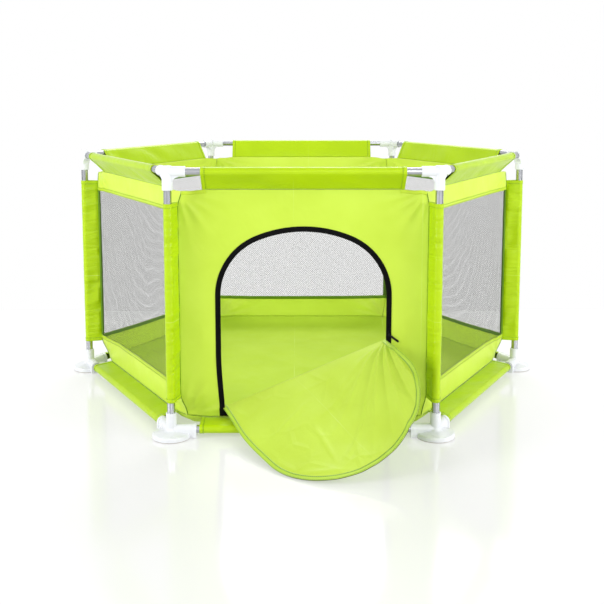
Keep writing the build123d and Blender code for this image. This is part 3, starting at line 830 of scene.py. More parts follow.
@dataclass(frozen=True)
class WallShape:
    """How a hung wall departs from its flat plane.

    Post sleeves hold the corner seams out over most of the height. Above and below them the corners fall
    back, and the free edge beside each rail sleeve dips. Places on a wall are (x, up): x to the right from
    the middle, up along the cloth from the foot. Fields whose names end in share are shares of the height,
    and reach, reach_gain and dip_start are shares of the half width. Hills are given by their height and
    pitch, and the fan's bearings are degrees from level.
    """

    layout: PenLayout
    hold: float = 0.038
    slack_top: tuple[float, ...] = (0.053, 0.047, 0.040, 0.045, 0.046, 0.040)
    slack_low: tuple[float, ...] = (0.064, 0.056, 0.059, 0.062, 0.060, 0.060)
    slack_top_share: float = 0.065
    slack_low_share: float = 0.115
    pull_top_share: float = 0.12
    pull_low_share: float = 0.17
    reach: float = 0.45
    reach_gain: float = 0.37
    drift: float = 1.7
    wide_hills: Pair = (0.0016, 0.13)
    small_hills: Pair = (0.0008, 0.05)
    pucker: float = 0.0009
    pucker_pitch: float = 0.017
    pucker_rise: float = 0.006
    pucker_run: float = 0.028
    tension: float = 0.0030
    fan_bearings: tuple[float, ...] = (16.0, 34.0, 55.0, 76.0)
    fan_heights: tuple[float, ...] = (1.0, 0.8, 1.0, 0.6)
    fan_width: float = 6.0
    fan_start: float = 0.05
    fan_run: float = 0.13
    dip: float = 0.005
    dip_share: float = 0.14
    dip_start: float = 0.8
    dip_wave: float = 0.6
    leg_draw: float = 0.008
    leg_x: float = -0.21
    leg_width: float = 0.05
    leg_top: float = 0.16

    def rise(self, up: Array) -> Array:
        """Share of the wall's height."""
        return np.clip(up / self.layout.height, 0.0, 1.0)

    def plane_out(self, up: Array) -> Array:
        """Distance from the pen's middle to the flat plane."""
        return self.layout.low_apothem + up * math.sin(self.layout.lean)

    def corner_shift(self, x: Array, up: Array, side: int) -> Array:
        """How far the nearer corner seam stands out from the flat plane.

        The seam keeps its inset from the post while the sleeve holds it, and eases to that corner's slack
        inset over the last stretch at the top and at the foot.

        Args:
            x: Places across the wall, of which only the sign counts.
            up: Places up the wall.
            side: Number of the side.

        Returns:
            The distance at each place.
        """
        rise = self.rise(up)
        top, low = (
            np.where(x < 0, slack[side - 1], slack[side % 6]) for slack in (self.slack_top, self.slack_low)
        )
        inset = self.hold + (top - self.hold) * fading(1.0 - rise, self.slack_top_share)
        inset = inset + (low - self.hold) * fading(rise, self.slack_low_share)
        return self.layout.apothem - self.plane_out(up) - inset * COS30

    def half_width(self, x: Array, up: Array, side: int) -> Array:
        """Distance from the middle of the wall to its nearer corner seam."""
        return (self.plane_out(up) + self.corner_shift(x, up, side)) * TAN30

    def bulge(self, x: Array, up: Array, side: int) -> Array:
        """How far the cloth stands out from the flat plane.

        The corner's shift is eased in towards the seam, from nearer the middle where the posts hold it. Low
        random hills are added that die out at the edges, then short puckers along the corner seams and soft
        ridges that fan out of the four corners, where the cloth is drawn tight.

        Args:
            x: Places across the wall.
            up: Places up the wall.
            side: Number of the side.

        Returns:
            The distance at each place.
        """
        rise, half = self.rise(up), self.half_width(x, up, side)
        across = np.abs(x) / half
        ends = np.maximum(fading(rise, self.pull_low_share), fading(1.0 - rise, self.pull_top_share))
        reach = self.reach + self.reach_gain * ends
        pull = self.corner_shift(x, up, side) * smooth((across - reach) / (1.0 - reach))
        drift = x + self.drift * side
        (wide, wide_pitch), (small, small_pitch) = self.wide_hills, self.small_hills
        soft = wide * hills(drift, up, wide_pitch, 3)
        soft = soft + small * hills(drift + 0.4 * up, up * 0.6, small_pitch, 5)
        soft = soft * smooth((1.0 - across) / 0.12) * smooth(np.minimum(rise, 1.0 - rise) / 0.1)
        from_seam = np.maximum(half - np.abs(x), 0.0)
        gather = self.pucker * hills(np.sign(x) * 3.1 + drift * 0.3, up, self.pucker_pitch, 9)
        gather = gather * smooth(from_seam / self.pucker_rise) * np.exp(-from_seam / self.pucker_run)
        return pull + soft + gather + self.fan(from_seam, np.minimum(up, self.layout.height - up))

    def fan(self, from_seam: Array, from_end: Array) -> Array:
        """Soft ridges that fan out of a corner of the wall.

        Each ridge is a bell across its bearing from the corner. It starts a little way out and fades.

        Args:
            from_seam: Distance from the nearer corner seam.
            from_end: Distance from the nearer of the top and the foot.

        Returns:
            How far the cloth stands out at each place.
        """
        bearing = np.degrees(np.arctan2(from_end, from_seam + 1e-6))[..., None]
        bells = np.exp(-(((bearing - np.array(self.fan_bearings)) / self.fan_width) ** 2))
        distance = np.hypot(from_seam, from_end)
        length = smooth(distance / self.fan_start) * fading(distance - self.fan_start, self.fan_run)
        edges = smooth(from_end / 0.02) * smooth(from_seam / 0.01)
        return self.tension * (bells @ np.array(self.fan_heights)) * length * edges

    def place(self, x: Array, up: Array, lift: Array | float = 0.0, side: int = 1) -> Array:
        """Carries places on the wall to points in the pen.

        Args:
            x: Places across the wall.
            up: Places up the wall.
            lift: Distance outwards from the cloth.
            side: Number of the side.

        Returns:
            The points, coordinates last.
        """
        lean = self.layout.lean
        across = np.abs(x) / self.half_width(x, up, side)
        wave = self.dip_wave * hills(9.0 * across + 3.3 * side + np.sign(x), 0.0 * up, 1.0, 13)
        free = smooth((across - self.dip_start) / 0.14) * (1.0 + wave * smooth((1.0 - across) / 0.05))
        lowered = up - self.dip * free * fading(1.0 - self.rise(up), self.dip_share)
        proud = self.bulge(x, up, side) + lift
        drawn = x
        if side == 1:
            near_leg = np.exp(-(((x - self.leg_x) / self.leg_width) ** 2))
            drawn = x + self.leg_draw * near_leg * fading(up, self.leg_top)
        out = self.layout.low_apothem + lowered * math.sin(lean) + proud * math.cos(lean)
        high = self.layout.wall_low + lowered * math.cos(lean) - proud * math.sin(lean)
        return turned(np.stack([drawn, -out, high + 0.0 * out], axis=-1), side)

    def patch(
        self, x: Array, up: Array, lift: Array | float = 0.0, side: int = 1, shift: float = 0.0,
        finish: int = 0,
    ) -> Patch:
        """Cloth over a grid of places on the wall, which is also its flat cut.

        Args:
            x: Places across the wall.
            up: Places up the wall.
            lift: Distance outwards from the cloth.
            side: Number of the side.
            shift: How far up the flat cut it is drawn, to lay folded cloth out flat.
            finish: Number of its material.

        Returns:
            The patch.
        """
        return Patch(self.place(x, up, lift, side), np.stack([x, up + shift], axis=-1), finish)


@dataclass(frozen=True)
class DoorOutline:
    """Outline of the arched door: straight legs, tight shoulders and a flat crown."""

    half_width: float = 0.214
    top: float = 0.477
    crown_r: float = 0.300
    shoulder_r: float = 0.160
    tape: float = 0.013
    flap_inset: float = 0.0145
    fold_left: float = 0.023
    fold_right: float = 0.197

    @property
    def shoulder_turn(self) -> float:
        """Angle that a shoulder turns through."""
        sideways = self.half_width - self.shoulder_r
        return math.acos(sideways / (self.crown_r - self.shoulder_r))

    @property
    def spring(self) -> float:
        """Height where the legs end and the shoulders begin."""
        return self.top - self.crown_r + (self.crown_r - self.shoulder_r) * math.sin(self.shoulder_turn)

    @property
    def length(self) -> float:
        """Length of the whole outline, from foot to foot."""
        crown = self.crown_r * (math.pi - 2 * self.shoulder_turn)
        return 2 * self.spring + 2 * self.shoulder_r * self.shoulder_turn + crown

    def trace(self, run: Array, inset: Array | float = 0.0) -> Array:
        """Points on the outline, or on a copy drawn in by an inset.

        The left half is worked out and the right half mirrors it. Up the leg the outward direction is level,
        then it turns through the shoulder about the shoulder's centre and on to the top about the crown's.

        Args:
            run: Distances along the outline from its left foot.
            inset: Distance inwards.

        Returns:
            (x, up) of each point, last.
        """
        half = self.length / 2
        near = half - np.abs(run - half)
        side = np.where(run > half, 1.0, -1.0)
        bend = np.clip((near - self.spring) / self.shoulder_r, 0.0, self.shoulder_turn)
        after = np.maximum(near - self.spring - self.shoulder_r * self.shoulder_turn, 0.0)
        angle = bend + after / self.crown_r
        on_crown = after > 0
        centre_x = np.where(on_crown, 0.0, self.half_width - self.shoulder_r)
        centre_up = np.where(on_crown, self.top - self.crown_r, self.spring)
        radius = np.where(on_crown, self.crown_r, self.shoulder_r) - inset
        x = side * (centre_x + radius * np.cos(angle))
        up = np.where(near < self.spring, near, centre_up + radius * np.sin(angle))
        return np.stack([x, up], axis=-1)

    def fold_up(self, x: Array) -> Array:
        """Height of the fold line at places across the door."""
        inner = self.half_width - self.tape
        return self.fold_left + (self.fold_right - self.fold_left) * (x + inner) / (2 * inner)


# Sewing


# Faces of a stitch, whose corners are its tail, head, two sides, top and underside
STITCH_FACES = np.array(
    [[0, 2, 4], [2, 1, 4], [1, 3, 4], [3, 0, 4], [2, 0, 5], [1, 2, 5], [3, 1, 5], [0, 3, 5]]
)
STITCH_CORNERS = 6


@dataclass
class Sewing:
    """Stitches and seam cords, gathered row by row and made into one piece for each body."""

    finishes: Finishes
    pitch: float = 0.0042
    length: float = 0.0033
    width: float = 0.0011
    height: float = 0.0006
    seam_r: float = 0.0010
    seam_sides: int = 6
    seam_tip: float = 0.05
    rows: dict[Body, list] = field(default_factory=lambda: {Body.PEN: [], Body.FLAP: []})
    seams: list[Patch] = field(default_factory=list)

    def row(self, path: Array, lifted: Array, body: Body = Body.PEN, bold: float = 1.0) -> None:
        """Adds a row of stitches.

        Each stitch is a slim double pyramid of six corners, laid along the path at an even pitch.

        Args:
            path: (n, 3) points on the cloth.
            lifted: (n, 3) the same points moved off the cloth, which gives the stitches' upper side.
            body: Body that the cloth moves with.
            bold: Share of the usual thickness.
        """
        steps = np.linalg.norm(np.diff(path, axis=0), axis=1)
        run = np.concatenate([[0.0], np.cumsum(steps)])
        spots = np.arange(self.pitch / 2, run[-1], self.pitch)
        ends = [spots - self.length / 2, spots, spots + self.length / 2]
        tail, middle, head = (np.stack([np.interp(e, run, path[:, k]) for k in range(3)], -1) for e in ends)
        above = np.stack([np.interp(spots, run, lifted[:, k]) for k in range(3)], -1) - middle
        above = above / np.linalg.norm(above, axis=1, keepdims=True)
        along = (head - tail) / np.linalg.norm(head - tail, axis=1, keepdims=True)
        aside = np.cross(above, along) * self.width / 2 * bold
        top, under = middle + above * self.height * bold, middle - above * self.height / 2
        self.rows[body].append(np.stack([tail, head, middle + aside, middle - aside, top, under], axis=1))

    def seam(self, path: Array, thick: float = 1.0) -> None:
        """Adds a seam cord: a slim tube along the path that tapers to a point at both ends.

        Args:
            path: (n, 3) points on the seam.
            thick: Share of the usual thickness.
        """
        run = np.gradient(path, axis=0)
        along = run / np.linalg.norm(run, axis=1, keepdims=True)
        askew = np.array([0.31, 0.57, 0.76])
        first = np.cross(along, askew)
        first /= np.linalg.norm(first, axis=1, keepdims=True)
        second = np.cross(along, first)
        angle = np.linspace(0.0, 2 * math.pi, self.seam_sides, endpoint=False)
        cosine, sine = np.cos(angle)[None, :, None], np.sin(angle)[None, :, None]
        radius = np.full(len(path), self.seam_r * thick)
        radius[[0, -1]] *= self.seam_tip
        points = path[:, None] + (first[:, None] * cosine + second[:, None] * sine) * radius[:, None, None]
        flat = np.stack(np.broadcast_arrays(np.arange(len(path))[:, None] * 0.01, angle[None] * 0.001), -1)
        self.seams.append(Patch(points[:, ::-1], flat, ring=True))

    def finish(self) -> dict[Body, Piece]:
        """Makes the pieces of all rows and seams.

        Returns:
            The piece of stitches on each body.
        """
        pieces = {}
        for body, rows in self.rows.items():
            stitches = np.concatenate(rows)
            count = len(stitches)
            first = np.arange(count)[:, None, None] * STITCH_CORNERS
            cells = (first + STITCH_FACES[None]).reshape(-1, 3)
            flat = np.zeros((count * STITCH_CORNERS, 2))
            name = f"stitching_{body.value}"
            thread = self.finishes.stitch if body is Body.PEN else self.finishes.rim_stitch
            piece = make_mesh(name, stitches.reshape(-1, 3), cells, flat, [thread])
            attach(piece, body.value)
            LOG.info("%s: %d stitches", name, count)
            pieces[body] = piece
        sew_piece("seam_cords", self.seams, [self.finishes.seam], Body.PEN)
        return pieces


# Pieces of the cover


@dataclass
class FrontWall:
    """Plain wall with the arched door cut into it."""

    shape: WallShape
    door: DoorOutline
    finishes: Finishes
    cut_inset: float = 0.009
    cloth: float = 0.0008
    sill_low: float = -0.001
    sill_top: float = 0.005
    hem: float = 0.009
    hem_lift: float = 0.0009
    hem_tuck: float = 0.01
    columns: int = 320
    rows: int = 40

    def build(self) -> None:
        """Makes the wall, its sill and the hems of its free top corners."""
        patches = [self.arch(), self.sill(), *(self.free_hem(end) for end in (-1, 1))]
        looks = [self.finishes.cover, self.finishes.hem]
        wall = sew_piece("front_wall_cloth", patches, looks, Body.PEN, self.cloth)
        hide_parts("front_wall")
        declare_sheet(patches)

    def arch(self) -> Patch:
        """Cloth round the door.

        Columns follow the door's outline from foot to foot and rows lead straight from it to the wall's
        edge: the legs to the corner seams and the crown to the top.

        Returns:
            The patch.
        """
        height = self.shape.layout.height
        run = np.linspace(0.0, self.door.length, self.columns)
        inner = self.door.trace(run, self.cut_inset)
        corner = self.door.spring + 0.5 * self.door.shoulder_r * self.door.shoulder_turn
        near = np.minimum(run, self.door.length - run)
        side = np.where(run > self.door.length / 2, 1.0, -1.0)
        up = np.minimum(near / corner, 1.0) * height
        over = np.clip((near - corner) / (self.door.length / 2 - corner), 0.0, 1.0)
        outer = np.stack([side * self.shape.half_width(side, up, 1) * (1.0 - over), up], axis=-1)
        share = np.linspace(0.0, 1.0, self.rows)[:, None, None]
        flat = inner[None] * (1.0 - share) + outer[None] * share
        return self.shape.patch(flat[..., 0], flat[..., 1])

    def sill(self) -> Patch:
        """Narrow strip under the door."""
        inner = self.door.half_width - self.cut_inset
        return self.shape.patch(*grid((-inner, inner, 80), (self.sill_low, self.sill_top, 3)))

    def free_hem(self, end: int) -> Patch:
        """Hem along the top edge between the rail sleeve and the corner.

        Args:
            end: -1 for the left end and 1 for the right.

        Returns:
            The patch.
        """
        share, drop = grid((0.0, 1.0, 30), (0.0, 1.0, 5))
        up = self.shape.layout.height - self.hem * (1.0 - drop)
        start = self.shape.layout.top_sleeve_half - self.hem_tuck
        x = start + (self.shape.half_width(np.full_like(up, end), up, 1) - start) * share
        x = x if end > 0 else -x[:, ::-1]
        return self.shape.patch(x, up, self.hem_lift, shift=self.hem, finish=1)


@dataclass
class SideWall:
    """Net wall: a cloth band above and below, a binding down each corner, and the net between them."""

    number: int
    shape: WallShape
    finishes: Finishes
    sewing: Sewing
    top_band: float = 0.057
    low_band: float = 0.072
    binding: float = 0.0105
    binding_lift: float = 0.0004
    hem: float = 0.010
    hem_lift: float = 0.0010
    back_lift: float = -0.0021
    tuck: float = 0.007
    cloth: float = 0.0008
    columns: int = 140
    band_rows: int = 18
    hem_rows: int = 4
    stitch_inset: float = 0.0018
    stitch_reach: float = 0.985
    stitch_lifts: Pair = (0.0011, 0.0031)
    stitch_steps: int = 160
    net_pitch: float = 0.0046
    net_strand: float = 0.00074
    net_lifts: Pair = (-0.0009, -0.0012)
    net_steps: int = 25

    def build(self) -> None:
        """Makes the wall's bands, bindings and net."""
        height = self.shape.layout.height
        self.band("top_band", height - self.top_band, height, inner_edge_low=True)
        self.band("low_band", 0.0, self.low_band, inner_edge_low=False)
        self.bindings()
        self.net()

    def strip(self, low: float, high: float, lift: float, rows: int, shift: float, finish: int) -> Patch:
        """Cloth from corner to corner between two heights.

        Args:
            low: Lower edge.
            high: Upper edge.
            lift: Distance outwards from the wall.
            rows: Rows of the grid.
            shift: How far up the flat cut it is drawn, to lay folded cloth out flat.
            finish: Number of its material.

        Returns:
            The patch.
        """
        share, up = grid((-1.0, 1.0, self.columns), (low, high, rows))
        x = share * self.shape.half_width(share, up, self.number)
        return self.shape.patch(x, up, lift, self.number, shift, finish)

    def band(self, name: str, low: float, high: float, inner_edge_low: bool) -> None:
        """Makes one band, with its edge by the net folded over to both faces and sewn down twice.

        Args:
            name: Name of the band.
            low: Lower edge.
            high: Upper edge.
            inner_edge_low: True where the net is below the band.
        """
        fold = (low, low + self.hem) if inner_edge_low else (high - self.hem, high)
        away = -1 if inner_edge_low else 1
        patches = [
            self.strip(low, high, 0.0, self.band_rows, 0.0, 0),
            self.strip(*fold, self.hem_lift, self.hem_rows, away * self.hem, 1),
            self.strip(*fold, self.back_lift, self.hem_rows, 2 * away * self.hem, 2),
        ]
        # The fold's back face takes the binding cloth, painted dark as painted shade
        looks = [self.finishes.band, self.finishes.hem, self.finishes.binding]
        piece = sew_piece(f"{name}_{self.number}", patches, looks, Body.PEN, self.cloth)
        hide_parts(f"wall_frame_{self.number}")
        declare_sheet(patches)
        share = np.linspace(-self.stitch_reach, self.stitch_reach, self.stitch_steps)
        for height in (fold[0] + self.stitch_inset, fold[1] - self.stitch_inset):
            up = np.full_like(share, height)
            x = share * self.shape.half_width(share, up, self.number)
            self.sewing.row(*(self.shape.place(x, up, lift, self.number) for lift in self.stitch_lifts))

    def bindings(self) -> None:
        """Makes the narrow strips along the corner seams that bind the net's edges."""
        low, high = self.low_band - self.hem, self.shape.layout.height - self.top_band + self.hem
        for end, name in ((-1, "left"), (1, "right")):
            share, up = grid((0.0, 1.0, 9), (low, high, 90))
            half = self.shape.half_width(np.full_like(up, end), up, self.number)
            x = half - self.binding * (1.0 - share) if end > 0 else -half + self.binding * share
            patch = self.shape.patch(x, up, self.binding_lift, self.number)
            title = f"binding_{name}_{self.number}"
            # Binding cloth is painted dark as painted shade
            piece = sew_piece(title, [patch], [self.finishes.binding], Body.PEN, self.cloth)
            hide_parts(f"wall_frame_{self.number}")
            declare_sheet([patch])

    def net(self) -> None:
        """Makes the net: two sets of slim ribbons that cross at right angles on the slant.

        In a square frame of the window each ribbon's middle line is x = slope * up + start, cut where it
        meets the window's edges, and is followed in even steps so that it lies on the wall's curve.
        """
        low = self.low_band - self.tuck
        high = self.shape.layout.height - self.top_band + self.tuck
        half = float(self.shape.half_width(np.array(1.0), np.array((low + high) / 2), self.number))
        slopes = zip((1, -1), self.net_lifts)
        patches = [self.ribbons(low, high, half, slope, lift) for slope, lift in slopes]
        piece = sew_piece(f"net_{self.number}", patches, [self.finishes.net], Body.PEN)
        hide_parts("mesh_windows")
        area = sum(patch.flat_area() for patch in patches)

    def ribbons(self, low: float, high: float, half: float, slope: int, lift: float) -> Patch:
        """One set of the net's ribbons.

        Args:
            low: Lower edge of the window.
            high: Upper edge.
            half: Half of its width.
            slope: 1 for ribbons that lead up to the right and -1 for those that lead up to the left.
            lift: Distance outwards from the wall.

        Returns:
            One patch, with no cell between the end of a ribbon and the start of the next.
        """
        step = self.net_pitch * math.sqrt(2)
        reach = half + (high - low)
        start = np.arange(-reach + step / 2, half, step)
        lower = np.maximum(low, low - half - start)
        upper = np.minimum(high, low + half - start)
        start, lower, upper = (values[upper - lower > step] for values in (start, lower, upper))
        share = np.linspace(0.0, 1.0, self.net_steps)[None]
        up = lower[:, None] + (upper - lower)[:, None] * share
        x = start[:, None] + up - low
        aside = self.net_strand / 2 / math.sqrt(2)
        edges_x = np.stack([x - aside, x + aside], axis=-1) * slope
        edges_up = np.stack([up + aside, up - aside], axis=-1)
        wide = self.shape.half_width(edges_x, edges_up, self.number) / half
        points = self.shape.place(edges_x * wide, edges_up, lift, self.number)
        flat = np.stack([edges_x, edges_up], axis=-1)
        rows = points.shape[0] * points.shape[1]
        keep = ((np.arange(rows - 1) + 1) % points.shape[1] != 0)[:, None]
        order = slice(None, None, -1 if slope < 0 else 1)
        return Patch(points.reshape(rows, 2, 3)[:, order], flat.reshape(rows, 2, 2)[:, order], keep=keep)


@dataclass(frozen=True)
class SleeveSection:
    """Section of a cloth loop round a tube, drawn to a seam point.

    The path leaves the seam along the line that touches the circle on the outer side, follows the circle
    round the far side of the tube and comes back along the other touching line.
    """

    radius: float
    seam: tuple[float, float]

    def trace(self, line_count: int, arc_count: int) -> tuple[Array, Array, Array, Array]:
        """Points along the section.

        Args:
            line_count: Points on each straight stretch.
            arc_count: Points round the tube.

        Returns:
            (points, outward directions, run along the path, slackness from 0 on the tube to 1 between).
        """
        reach = math.hypot(*self.seam)
        bearing = math.atan2(self.seam[1], self.seam[0])
        spread = math.acos(self.radius / reach)
        angle = bearing - spread - np.linspace(0.0, 2 * math.pi - 2 * spread, arc_count)
        round_out = np.stack([np.cos(angle), np.sin(angle)], axis=-1)
        arc = round_out * self.radius
        share = np.linspace(0.0, 1.0, line_count, endpoint=False)[:, None]
        seam = np.array(self.seam)
        there = seam + (arc[0] - seam) * share
        back = (seam + (arc[-1] - seam) * share)[::-1]
        points = np.concatenate([there, arc, back])
        out_there = np.repeat(round_out[:1], line_count, axis=0)
        out_back = np.repeat(round_out[-1:], line_count, axis=0)
        outward = np.concatenate([out_there, round_out, out_back])
        run = np.concatenate([[0.0], np.cumsum(np.linalg.norm(np.diff(points, axis=0), axis=1))])
        slack_line = np.sin(math.pi * share[:, 0])
        slack = np.concatenate([slack_line, np.zeros(arc_count), slack_line[::-1]])
        return points, outward, run, slack


@dataclass
class Sleeve:
    """One cloth sleeve, swept along its tube.

    The section is carried along the tube. Slack cloth between tube and seam ripples: low hills drawn out
    along the slant, scaled by the section's slackness.
    """

    name: str
    node: str
    section: SleeveSection
    origin: Array
    along: Array
    inward: Array
    upward: Array
    low: float
    high: float
    side: int
    finish: Material
    sewing: Sewing
    carriers: list[str]
    ripple: float
    pucker: float
    ripple_pitch: float = 0.055
    pucker_pitch: float = 0.016
    pucker_rise: float = 0.010
    pucker_run: float = 0.022
    end_run: float = 0.03
    drift: float = 2.3
    hem: float = 0.0095
    hem_lift: float = 0.0007
    cloth: float = 0.0007
    step: float = 0.0045
    line_count: int = 16
    arc_count: int = 28
    stitch_inset: float = 0.003
    stitch_lifts: Pair = (0.0008, 0.0028)
    seed: int = 11

    def points(self, along: Array, run: Array, section: tuple, lift: float = 0.0) -> Array:
        """Points of the sleeve.

        Args:
            along: Places along the tube, (rows, columns).
            run: Run along the section, of the same shape.
            section: What the section's trace gave.
            lift: Distance outwards from the cloth.

        Returns:
            The points, coordinates last.
        """
        spots, outward, path, slack = section
        place = [np.interp(run, path, spots[:, k]) for k in range(2)]
        out = [np.interp(run, path, outward[:, k]) for k in range(2)]
        loose = np.interp(run, path, slack)
        drift = along + self.drift * self.side
        wave = self.ripple * hills(drift + 0.8 * run, run * 0.5, self.ripple_pitch, self.seed)
        from_seam = np.minimum(run, path[-1] - run)
        tight = self.pucker * (0.5 + 0.5 * hills(drift, run * 0.35, self.pucker_pitch, self.seed + 4))
        tight = tight * smooth(from_seam / self.pucker_rise) * np.exp(-from_seam / self.pucker_run)
        ends = smooth(np.minimum(along - self.low, self.high - along) / self.end_run)
        proud = (loose * wave + tight) * (0.25 + 0.75 * ends) + lift
        inward, upward = place[0] + out[0] * proud, place[1] + out[1] * proud
        local = self.origin + along[..., None] * self.along
        return turned(local + inward[..., None] * self.inward + upward[..., None] * self.upward, self.side)

    def build(self) -> None:
        """Makes the sleeve, its end hems and their stitches."""
        section = self.section.trace(self.line_count, self.arc_count)
        path = section[2]
        count = int((self.high - self.low) / self.step)
        along, run = np.meshgrid(np.linspace(self.low, self.high, count), path)
        patches = [Patch(self.points(along, run, section), np.stack([along, run], axis=-1))]
        for start, beyond in ((self.low, -1), (self.high - self.hem, 1)):
            along, run = np.meshgrid(np.linspace(start, start + self.hem, 4), path)
            flat = np.stack([along + beyond * self.hem, run], axis=-1)
            patches.append(Patch(self.points(along, run, section, self.hem_lift), flat))
        piece = sew_piece(self.name, patches, [self.finish], Body.PEN, self.cloth)
        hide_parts(self.node)
        declare_sheet(patches)
        inner = np.linspace(path[0] + self.stitch_inset, path[-1] - self.stitch_inset, 120)
        for place in (self.low + self.hem, self.high - self.hem):
            line = np.full_like(inner, place)
            self.sewing.row(*(self.points(line, inner, section, lift) for lift in self.stitch_lifts))


@dataclass
class Sleeves:
    """All sleeves that hang the cover on the frame."""

    layout: PenLayout
    shape: WallShape
    finishes: Finishes
    sewing: Sewing
    ease: float = 0.0010
    rail_clear: float = 0.0004
    post_clear: float = 0.0008

    def build(self) -> None:
        """Makes six sleeves on the top rails, six on the bottom rails and six on the posts."""
        for side in SIDES:
            self.rail_sleeve("top", side)
            self.rail_sleeve("low", side)
            self.post_sleeve(side)

    def rail_sleeve(self, level: str, side: int) -> None:
        """Makes the sleeve of one rail.

        Args:
            level: top or low.
            side: Number of the side.
        """
        layout, top = self.layout, level == "top"
        height = layout.rail_high if top else layout.rail_low
        seam_in = layout.apothem - (layout.top_apothem if top else layout.low_apothem) + self.rail_clear
        seam_up = (layout.wall_top if top else layout.wall_low) - height
        half = layout.top_sleeve_half if top else layout.low_sleeve_half
        Sleeve(
            name=f"{level}_sleeve_cloth_{side}",
            node=f"top_sleeve_{side}" if top else f"bottom_sleeve_{side}",
            section=SleeveSection(layout.tube_r + self.ease, (seam_in, seam_up)),
            origin=np.array([0.0, -layout.apothem, height]),
            along=np.array([1.0, 0.0, 0.0]),
            inward=np.array([0.0, 1.0, 0.0]),
            upward=np.array([0.0, 0.0, 1.0]),
            low=-half,
            high=half,
            side=side,
            finish=self.finishes.sleeve,
            sewing=self.sewing,
            carriers=[f"top_rail_{side}" if top else f"bottom_rail_{side}"],
            ripple=0.0036 if top else 0.0018,
            pucker=0.0016 if top else 0.0008,
        ).build()

    def post_sleeve(self, side: int) -> None:
        """Makes the sleeve of the post at the left end of a side.

        Args:
            side: Number of the side.
        """
        layout = self.layout
        out = np.array([-0.5, -COS30, 0.0])
        inward = -out
        Sleeve(
            name=f"post_sleeve_{side}",
            node="post_sleeves",
            section=SleeveSection(layout.tube_r + self.ease, (self.shape.hold + self.post_clear, 0.0)),
            origin=out * layout.side,
            along=np.array([0.0, 0.0, 1.0]),
            inward=inward,
            upward=np.cross([0.0, 0.0, 1.0], inward),
            low=layout.post_sleeve_low,
            high=layout.post_sleeve_top,
            side=side,
            finish=self.finishes.post_sleeve,
            sewing=self.sewing,
            carriers=[f"post_tube_{side}"],
            ripple=0.0030,
            pucker=0.0060,
            seed=29,
        ).build()


@dataclass
class FloorCloth:
    """Floor of the pen: flat on the ground and drawn up all round to the foot of the walls."""

    shape: WallShape
    finishes: Finishes
    slope_run: float = 0.07
    even_share: float = 0.12
    sag_share: float = 0.88
    clearance: float = 0.0010
    hill: float = 0.0014
    hill_pitch: float = 0.16
    cloth: float = 0.0008
    rings: int = 90
    columns: int = 60

    def build(self) -> None:
        """Makes the floor.

        Rings shrink from the walls' foot to the middle. The cloth's height falls with the distance from the
        rim, part evenly and mostly as its fourth power, and low hills lie on the flat.
        """
        layout = self.shape.layout
        share = np.linspace(-1.0, 1.0, self.columns, endpoint=False)
        level = np.zeros_like(share)
        half = [share * self.shape.half_width(share, level, side) for side in SIDES]
        rim = np.concatenate([self.shape.place(x, level, 0.0, side) for x, side in zip(half, SIDES)])[None]
        scale = np.linspace(0.0, 1.0, self.rings)[:, None]
        flat = rim[..., :2] * scale[..., None]
        down = (1.0 - scale) * layout.low_apothem
        climb = np.clip(1.0 - down / self.slope_run, 0.0, 1.0)
        lie = self.hill * (1.0 + hills(flat[..., 0], flat[..., 1], self.hill_pitch, 41))
        slope = layout.wall_low * (self.even_share * climb + self.sag_share * climb**4)
        high = slope + lie * (1.0 - climb) + self.clearance
        points = np.concatenate([flat, high[..., None]], axis=-1)
        patch = Patch(points, flat, ring=True)
        floor = sew_piece("floor_cloth", [patch], [self.finishes.floor], Body.PEN, self.cloth)
        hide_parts("floor_sheet")
        declare_sheet([patch])


